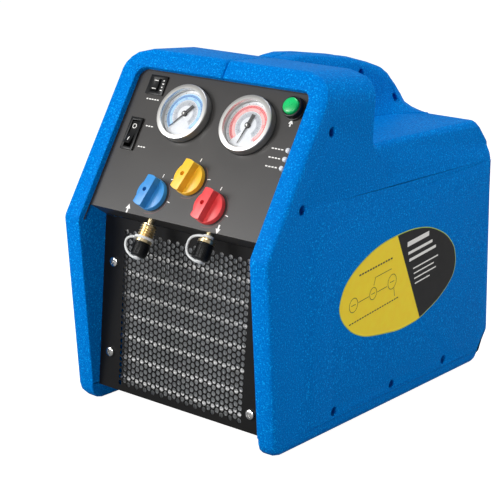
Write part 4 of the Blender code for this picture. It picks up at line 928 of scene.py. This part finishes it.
ports = {
    "inlet": {"x": -28.8, "stem": 5.0, "body": 15.0, "cap": 13.5, "eye": (18.6, 7.7)},
    "outlet": {"x": 39.6, "stem": 6.2, "body": 1.0, "cap": 15.8, "eye": (3.4, 3.3)},
}
portSizes = {"stem": 3.1, "body": 7.6, "ring": 7.9, "ringLong": 2.3, "cap": 7.8, "thread": 2.5, "deep": 1.1,
             "rise": 17.7, "behind": -14.0}


def makePort(side):
    p, s = ports[side], portSizes
    place = onConsole(p["x"], s["rise"], s["behind"]) @ rotated(90, "X")
    ringStart = p["stem"] + p["body"]
    ringEnd = ringStart + s["ringLong"]
    nose = ringEnd + p["cap"] - 5.0
    profile = [(0, -3.0), (s["stem"], -3.0), (s["stem"], p["stem"] - 1.2), (4.6, p["stem"] - 0.2),
               (s["body"] - 1.0, p["stem"])]
    turns = int((p["body"] - 1.0) // s["thread"])
    for i in range(turns):
        z = p["stem"] + 0.9 + i * s["thread"]
        profile += [(s["body"] - s["deep"], z), (s["body"], z + s["thread"] * 0.4),
                    (s["body"], z + s["thread"] * 0.6)]
    profile += [(s["body"] - s["deep"], ringStart - 0.4), (s["ring"], ringStart), (s["ring"], ringEnd),
                (4.4, ringEnd), (4.4, nose), (0, nose)]
    body = turnedPiece(side + "_flare_port", profile, 64)
    dress(body, turnedBrass, place=place, smooth=25, stands=(side + "_port",))
    start = ringEnd + 0.3
    end = start + p["cap"]
    r = s["cap"]
    cap = turnedPiece(side + "_ribbed_cap", [
        (4.8, nose + 0.3), (4.8, start), (r - 0.5, start), (r - 0.1, start + 0.5), (r - 0.1, start + 1.4),
        (r - 0.5, start + 1.7), (r - 0.5, end - 2.2), (r - 0.9, end - 1.0), (r - 1.8, end - 0.2), (r - 3.0, end),
        (0, end)], 72)
    # close the bottom of the bore
    takeUp(cap)
    setMode("EDIT")
    bpy.ops.mesh.select_mode(type="EDGE")
    bpy.ops.mesh.select_all(action="DESELECT")
    bpy.ops.mesh.select_non_manifold()
    bpy.ops.mesh.edge_face_add()
    setMode("OBJECT")

    def everyOtherRib(centre, normal):
        turn = math.degrees(math.atan2(centre.y, centre.x)) % 360
        onSkirt = start + 1.7 < centre.z < end - 2.2 and math.hypot(centre.x, centre.y) > r - 1.0
        return onSkirt and int(turn // 5) % 2 == 0

    pickFaces(cap, everyOtherRib)
    bpy.ops.mesh.inset(thickness=0.08 * mm, use_individual=True)
    bpy.ops.transform.resize(value=(r / (r - 0.5), r / (r - 0.5), 1), center_override=(0, 0, 0))
    faceOut()
    dress(cap, blackAbs, side + "_cap", place, 30, (side + "_port_cap",))
    # strap: an eye round the port, a loop to the left and a button under the cap
    eyeAt, eyeRadius = p["eye"]
    reach = r + 11.0
    path = [(-eyeRadius - 0.6, 0, eyeAt), (-eyeRadius - 4.0, 0, eyeAt - 0.6), (-reach + 1.0, 0, eyeAt + 1.0),
            (-reach - 1.6, 0, eyeAt * 0.45 + end * 0.4), (-reach + 1.0, 0, end * 0.84), (-r - 2.5, 0, end - 0.2),
            (-4.0, 0, end + 1.5), (1.6, 0, end + 1.5)]
    clearSelection()
    bpy.ops.curve.primitive_nurbs_path_add()
    loop = bpy.context.object
    spline = loop.data.splines[0]
    spline.points.add(len(path) - len(spline.points))
    for point, spot in zip(spline.points, path):
        point.co = (spot[0] * mm, spot[1] * mm, spot[2] * mm, 1.0)
    spline.order_u, spline.use_endpoint_u = 4, True
    loop.data.resolution_u = 8
    loop.data.bevel_depth, loop.data.bevel_resolution = 1.25 * mm, 3
    loop.data.use_fill_caps = True
    bpy.ops.object.convert(target="MESH")
    loop = bpy.context.object
    settle(loop)
    low, high = eyeAt - 1.1, eyeAt + 1.1
    eye = turnedPiece("eye", [
        (eyeRadius, low), (eyeRadius + 1.6, low), (eyeRadius + 1.6, high), (eyeRadius, high)], 40, closed=True)
    button = turnedPiece("button", [
        (0, end + 0.4), (3.4, end + 0.4), (3.4, end + 1.8), (2.8, end + 2.3), (0, end + 2.3)], 40)
    settle(eye), settle(button)
    strap = joinPieces([loop, eye, button], side + "_strap")
    dress(strap, paleStrap, place=place, smooth=50, stands=(side + "_cap_strap",))


makePort("inlet")
makePort("outlet")
print("ports dressed")


# Side label: an egg shape in two colours, with plain strokes where the print would be

labelShape = {
    "outline": ((109.3, 126.8), (112.0, 116.6), (120.2, 106.5), (133.3, 96.5), (146.2, 90.3), (159.0, 86.1),
                (177.0, 83.0), (197.7, 80.5), (218.7, 78.5), (240.1, 79.5), (257.7, 81.8), (275.2, 87.5),
                (291.5, 94.0), (307.7, 103.7), (319.2, 114.3), (322.7, 124.3), (322.0, 133.5), (317.2, 145.0),
                (308.5, 154.1), (295.5, 163.2), (277.2, 171.2), (259.7, 176.3), (240.2, 179.0), (221.5, 179.5),
                (202.0, 178.3), (183.1, 176.1), (166.0, 172.3), (149.5, 166.4), (133.5, 158.6), (120.3, 149.0),
                (113.1, 139.6)),
    "divide": ((201.5, 178.4), (259.5, 81.5)), "thick": 0.25, "grid": 6.2, "rim": 1.0,
}


def smoothOutline(points, steps=3):
    # a closed curve through the points
    dense = []
    for i in range(len(points)):
        p0, p1, p2, p3 = [Vector(points[(i + k) % len(points)]) for k in (-1, 0, 1, 2)]
        for k in range(steps):
            t = k / steps
            dense.append(0.5 * (2 * p1 + (p2 - p0) * t + (2 * p0 - 5 * p1 + 4 * p2 - p3) * t ** 2
                                + (3 * p1 - p0 - 3 * p2 + p3) * t ** 3))
    return dense


def onSide(piece, offset, thick):
    # lays a flat piece, drawn far out to the right, on the housing's side
    addModifier(piece, "SHRINKWRAP", target=bpy.data.objects["right_shell_refined"], wrap_method="PROJECT",
                use_project_x=True, use_project_y=False, use_project_z=False, use_negative_direction=True,
                use_positive_direction=False, offset=offset * mm)
    return addModifier(piece, "SOLIDIFY", thickness=thick * mm, offset=1.0)


def flatShape(name, points):
    # a flat face across the side, gridded so that it can follow the surface
    disc = newMesh(name, bpy.ops.mesh.primitive_circle_add, vertices=len(points), radius=0.05, fill_type="NGON")
    for vertex, (y, z) in zip(disc.data.vertices, points):
        vertex.co = (0.13, (y - middleY) * mm, z * mm)
    disc.matrix_world = Matrix()
    takeUp(disc)
    setMode("EDIT")
    grid = labelShape["grid"]
    for axis in (0, 1):
        values = [p[axis] for p in points]
        for i in range(1, int((max(values) - min(values)) / grid) + 1):
            bpy.ops.mesh.select_all(action="SELECT")
            cut = min(values) + i * grid
            spot = (0, (cut - middleY) * mm, 0) if axis == 0 else (0, 0, cut * mm)
            bpy.ops.mesh.bisect(plane_co=spot, plane_no=(0, 1 - axis, axis))
    setMode("OBJECT")
    return disc


def strokeShape(start, end, width):
    a, b = Vector(start), Vector(end)
    across = Vector((a.y - b.y, b.x - a.x)).normalized() * width / 2
    return flatShape("stroke", [a + across, a - across, b - across, b + across])


def makeLabel():
    outline = smoothOutline(labelShape["outline"])
    centre = sum(outline, Vector((0, 0))) / len(outline)
    rim = labelShape["rim"]
    (y0, z0), (y1, z1) = labelShape["divide"]
    normal = Vector((z0 - z1, y1 - y0)).normalized()
    border = flatShape("label_border", outline)
    disc = flatShape("label_yellow", [centre + (p - centre) * (1 - rim / (p - centre).length) for p in outline])
    editAll(disc)
    bpy.ops.mesh.bisect(plane_co=(0, (y0 - middleY) * mm, z0 * mm), plane_no=(0, normal.x, normal.y))
    setMode("OBJECT")
    onSide(border, 0.05, labelShape["thick"] - 0.05)
    onSide(disc, 0.1, labelShape["thick"])
    pickFaces(disc, lambda spot, facing: (spot.y + middleY - y0) * normal.x + (spot.z - z0) * normal.y > 0)
    bpy.ops.mesh.separate(type="SELECTED")
    setMode("OBJECT")
    other = [o for o in bpy.context.selected_objects if o != disc][0]
    other.name = other.data.name = "label_charcoal"
    dress(border, paleVinyl, smooth=40)
    dress(disc, yellowVinyl, smooth=40)
    dress(other, charcoalVinyl, smooth=40)


makeLabel()
print("label placed")


labelStrokes = {
    "light": (((222.0, 165.0), (262.0, 169.6), 5.0), ((225.0, 155.5), (270.0, 160.5), 3.0),
              ((228.0, 148.0), (278.0, 153.7), 3.0), ((237.0, 138.0), (284.0, 143.0), 1.4),
              ((239.0, 132.5), (277.0, 136.6), 1.4), ((241.0, 127.0), (282.0, 131.4), 1.4),
              ((243.0, 121.5), (271.0, 124.5), 1.4)),
    "dark": (((139.0, 150.5), (197.0, 156.8), 1.6), ((128.0, 104.5), (214.0, 114.0), 1.2)),
    "lines": (((141.0, 124.0), (159.0, 126.0)), ((173.0, 127.5), (190.0, 129.4)),
              ((166.0, 135.5), (168.0, 143.0)), ((168.0, 143.0), (196.0, 146.0)), ((203.0, 126.0), (206.0, 116.5))),
    "rings": ((133.0, 123.0, 7.0), (166.0, 127.5, 6.0), (199.0, 132.5, 7.5)), "fine": 0.6,
}


def makeLabelPrint():
    light = [strokeShape(*stroke) for stroke in labelStrokes["light"]]
    dark = []
    for start, end, width in labelStrokes["dark"]:
        # a row of short dashes
        a, b = Vector(start), Vector(end)
        count = int((b - a).length / 4.2)
        for i in range(count):
            p, q = a.lerp(b, i / count), a.lerp(b, (i + 0.72) / count)
            dark.append(strokeShape(p, q, width))
    fine = labelStrokes["fine"]
    dark += [strokeShape(start, end, fine) for start, end in labelStrokes["lines"]]
    for y, z, radius in labelStrokes["rings"]:
        spots = [Vector((y, z)) + Vector(onArc(radius, angle)) for angle in range(0, 360, 20)]
        dark += [strokeShape(spots[i - 1], spots[i], fine) for i in range(len(spots))]
        dark.append(strokeShape((y - radius * 0.5, z - 0.3), (y + radius * 0.5, z + 0.3), fine))
    for pieces, finish, name in ((light, whiteInk, "light"), (dark, blackInk, "dark")):
        dress(onSide(joinPieces(pieces, "label_%s_print" % name), 0.37, 0.05), finish)


makeLabelPrint()
print("label printed")


# Camera, lights and floor

camera = newObject("camera", bpy.data.cameras.new("camera"))
camera.data.lens = 104.208
camera.data.sensor_width = 36.0
camera.matrix_world = Matrix(((0.7949019, -0.1897182, 0.5763142, 0.809734),
                              (0.6051893, 0.1800985, -0.7754421, -1.161065),
                              (0.0433222, 0.9651796, 0.2579760, 0.513925), (0, 0, 0, 1)))
bpy.context.scene.camera = camera

lights = {
    "key": {"at": (-0.9, -1.65, 0.92), "aim": (0, -0.1, 0.18), "size": 0.6, "power": 19.0},
    "front": {"at": (0.4, -1.6, 0.6), "aim": (0, -0.1, 0.15), "size": 0.3, "power": 10.0},
    "fill": {"at": (-0.6, -0.8, 0.42), "aim": (-0.05, -0.15, 0.2), "size": 0.25, "power": 1.8},
    "top": {"at": (0.0, 0.3, 1.7), "aim": (0, 0, 0.2), "size": 0.9, "power": 17.0},
    "side": {"at": (1.7, 0.85, 0.6), "aim": (0, 0, 0.15), "size": 1.0, "power": 15.0},
}
for name, light in lights.items():
    lamp = newObject(name, bpy.data.lights.new(name, "AREA"))
    lamp.data.size = light["size"]
    lamp.data.energy = light["power"]
    aim = Vector(light["aim"]) - Vector(light["at"])
    lamp.matrix_world = Matrix.Translation(light["at"]) @ aim.to_track_quat("-Z", "Y").to_matrix().to_4x4()

world = bpy.data.worlds.new("studio")
bpy.context.scene.world = world
world.use_nodes = True
tree = world.node_tree
background = tree.nodes["Background"]
background.inputs["Color"].default_value = (1, 1, 1, 1)
seen = addNode(tree, "ShaderNodeLightPath")
gloss = addNode(tree, "ShaderNodeMath", {0: seen.outputs["Is Glossy Ray"]}, {1: 0.3}, operation="MULTIPLY")
# seen as white, a third as bright in reflections, and only a faint light on the piece
either = addNode(tree, "ShaderNodeMath", {0: seen.outputs["Is Camera Ray"], 1: gloss.outputs[0]},
                 operation="MAXIMUM")
strength = addNode(tree, "ShaderNodeMapRange", {"Value": either.outputs[0]}, {"To Min": 0.12, "To Max": 1.0})
tree.links.new(strength.outputs["Result"], background.inputs["Strength"])

floor = newMesh("floor", bpy.ops.mesh.primitive_plane_add, size=30.0, location=(0, 0, -0.0005))
floorPaint, tree, shader = newFinish("paleStudioFloor", "#9a9a9a", 0.9)
seen = addNode(tree, "ShaderNodeLightPath")
glow = addNode(tree, "ShaderNodeMapRange", {"Value": seen.outputs["Is Camera Ray"]},
               {"To Min": 0.0, "To Max": 0.96})
shader.inputs["Emission Color"].default_value = (1, 1, 1, 1)
tree.links.new(glow.outputs["Result"], shader.inputs["Emission Strength"])
floor.data.materials.append(floorPaint)

bpy.context.scene.view_settings.view_transform = "Standard"
print("studio ready")
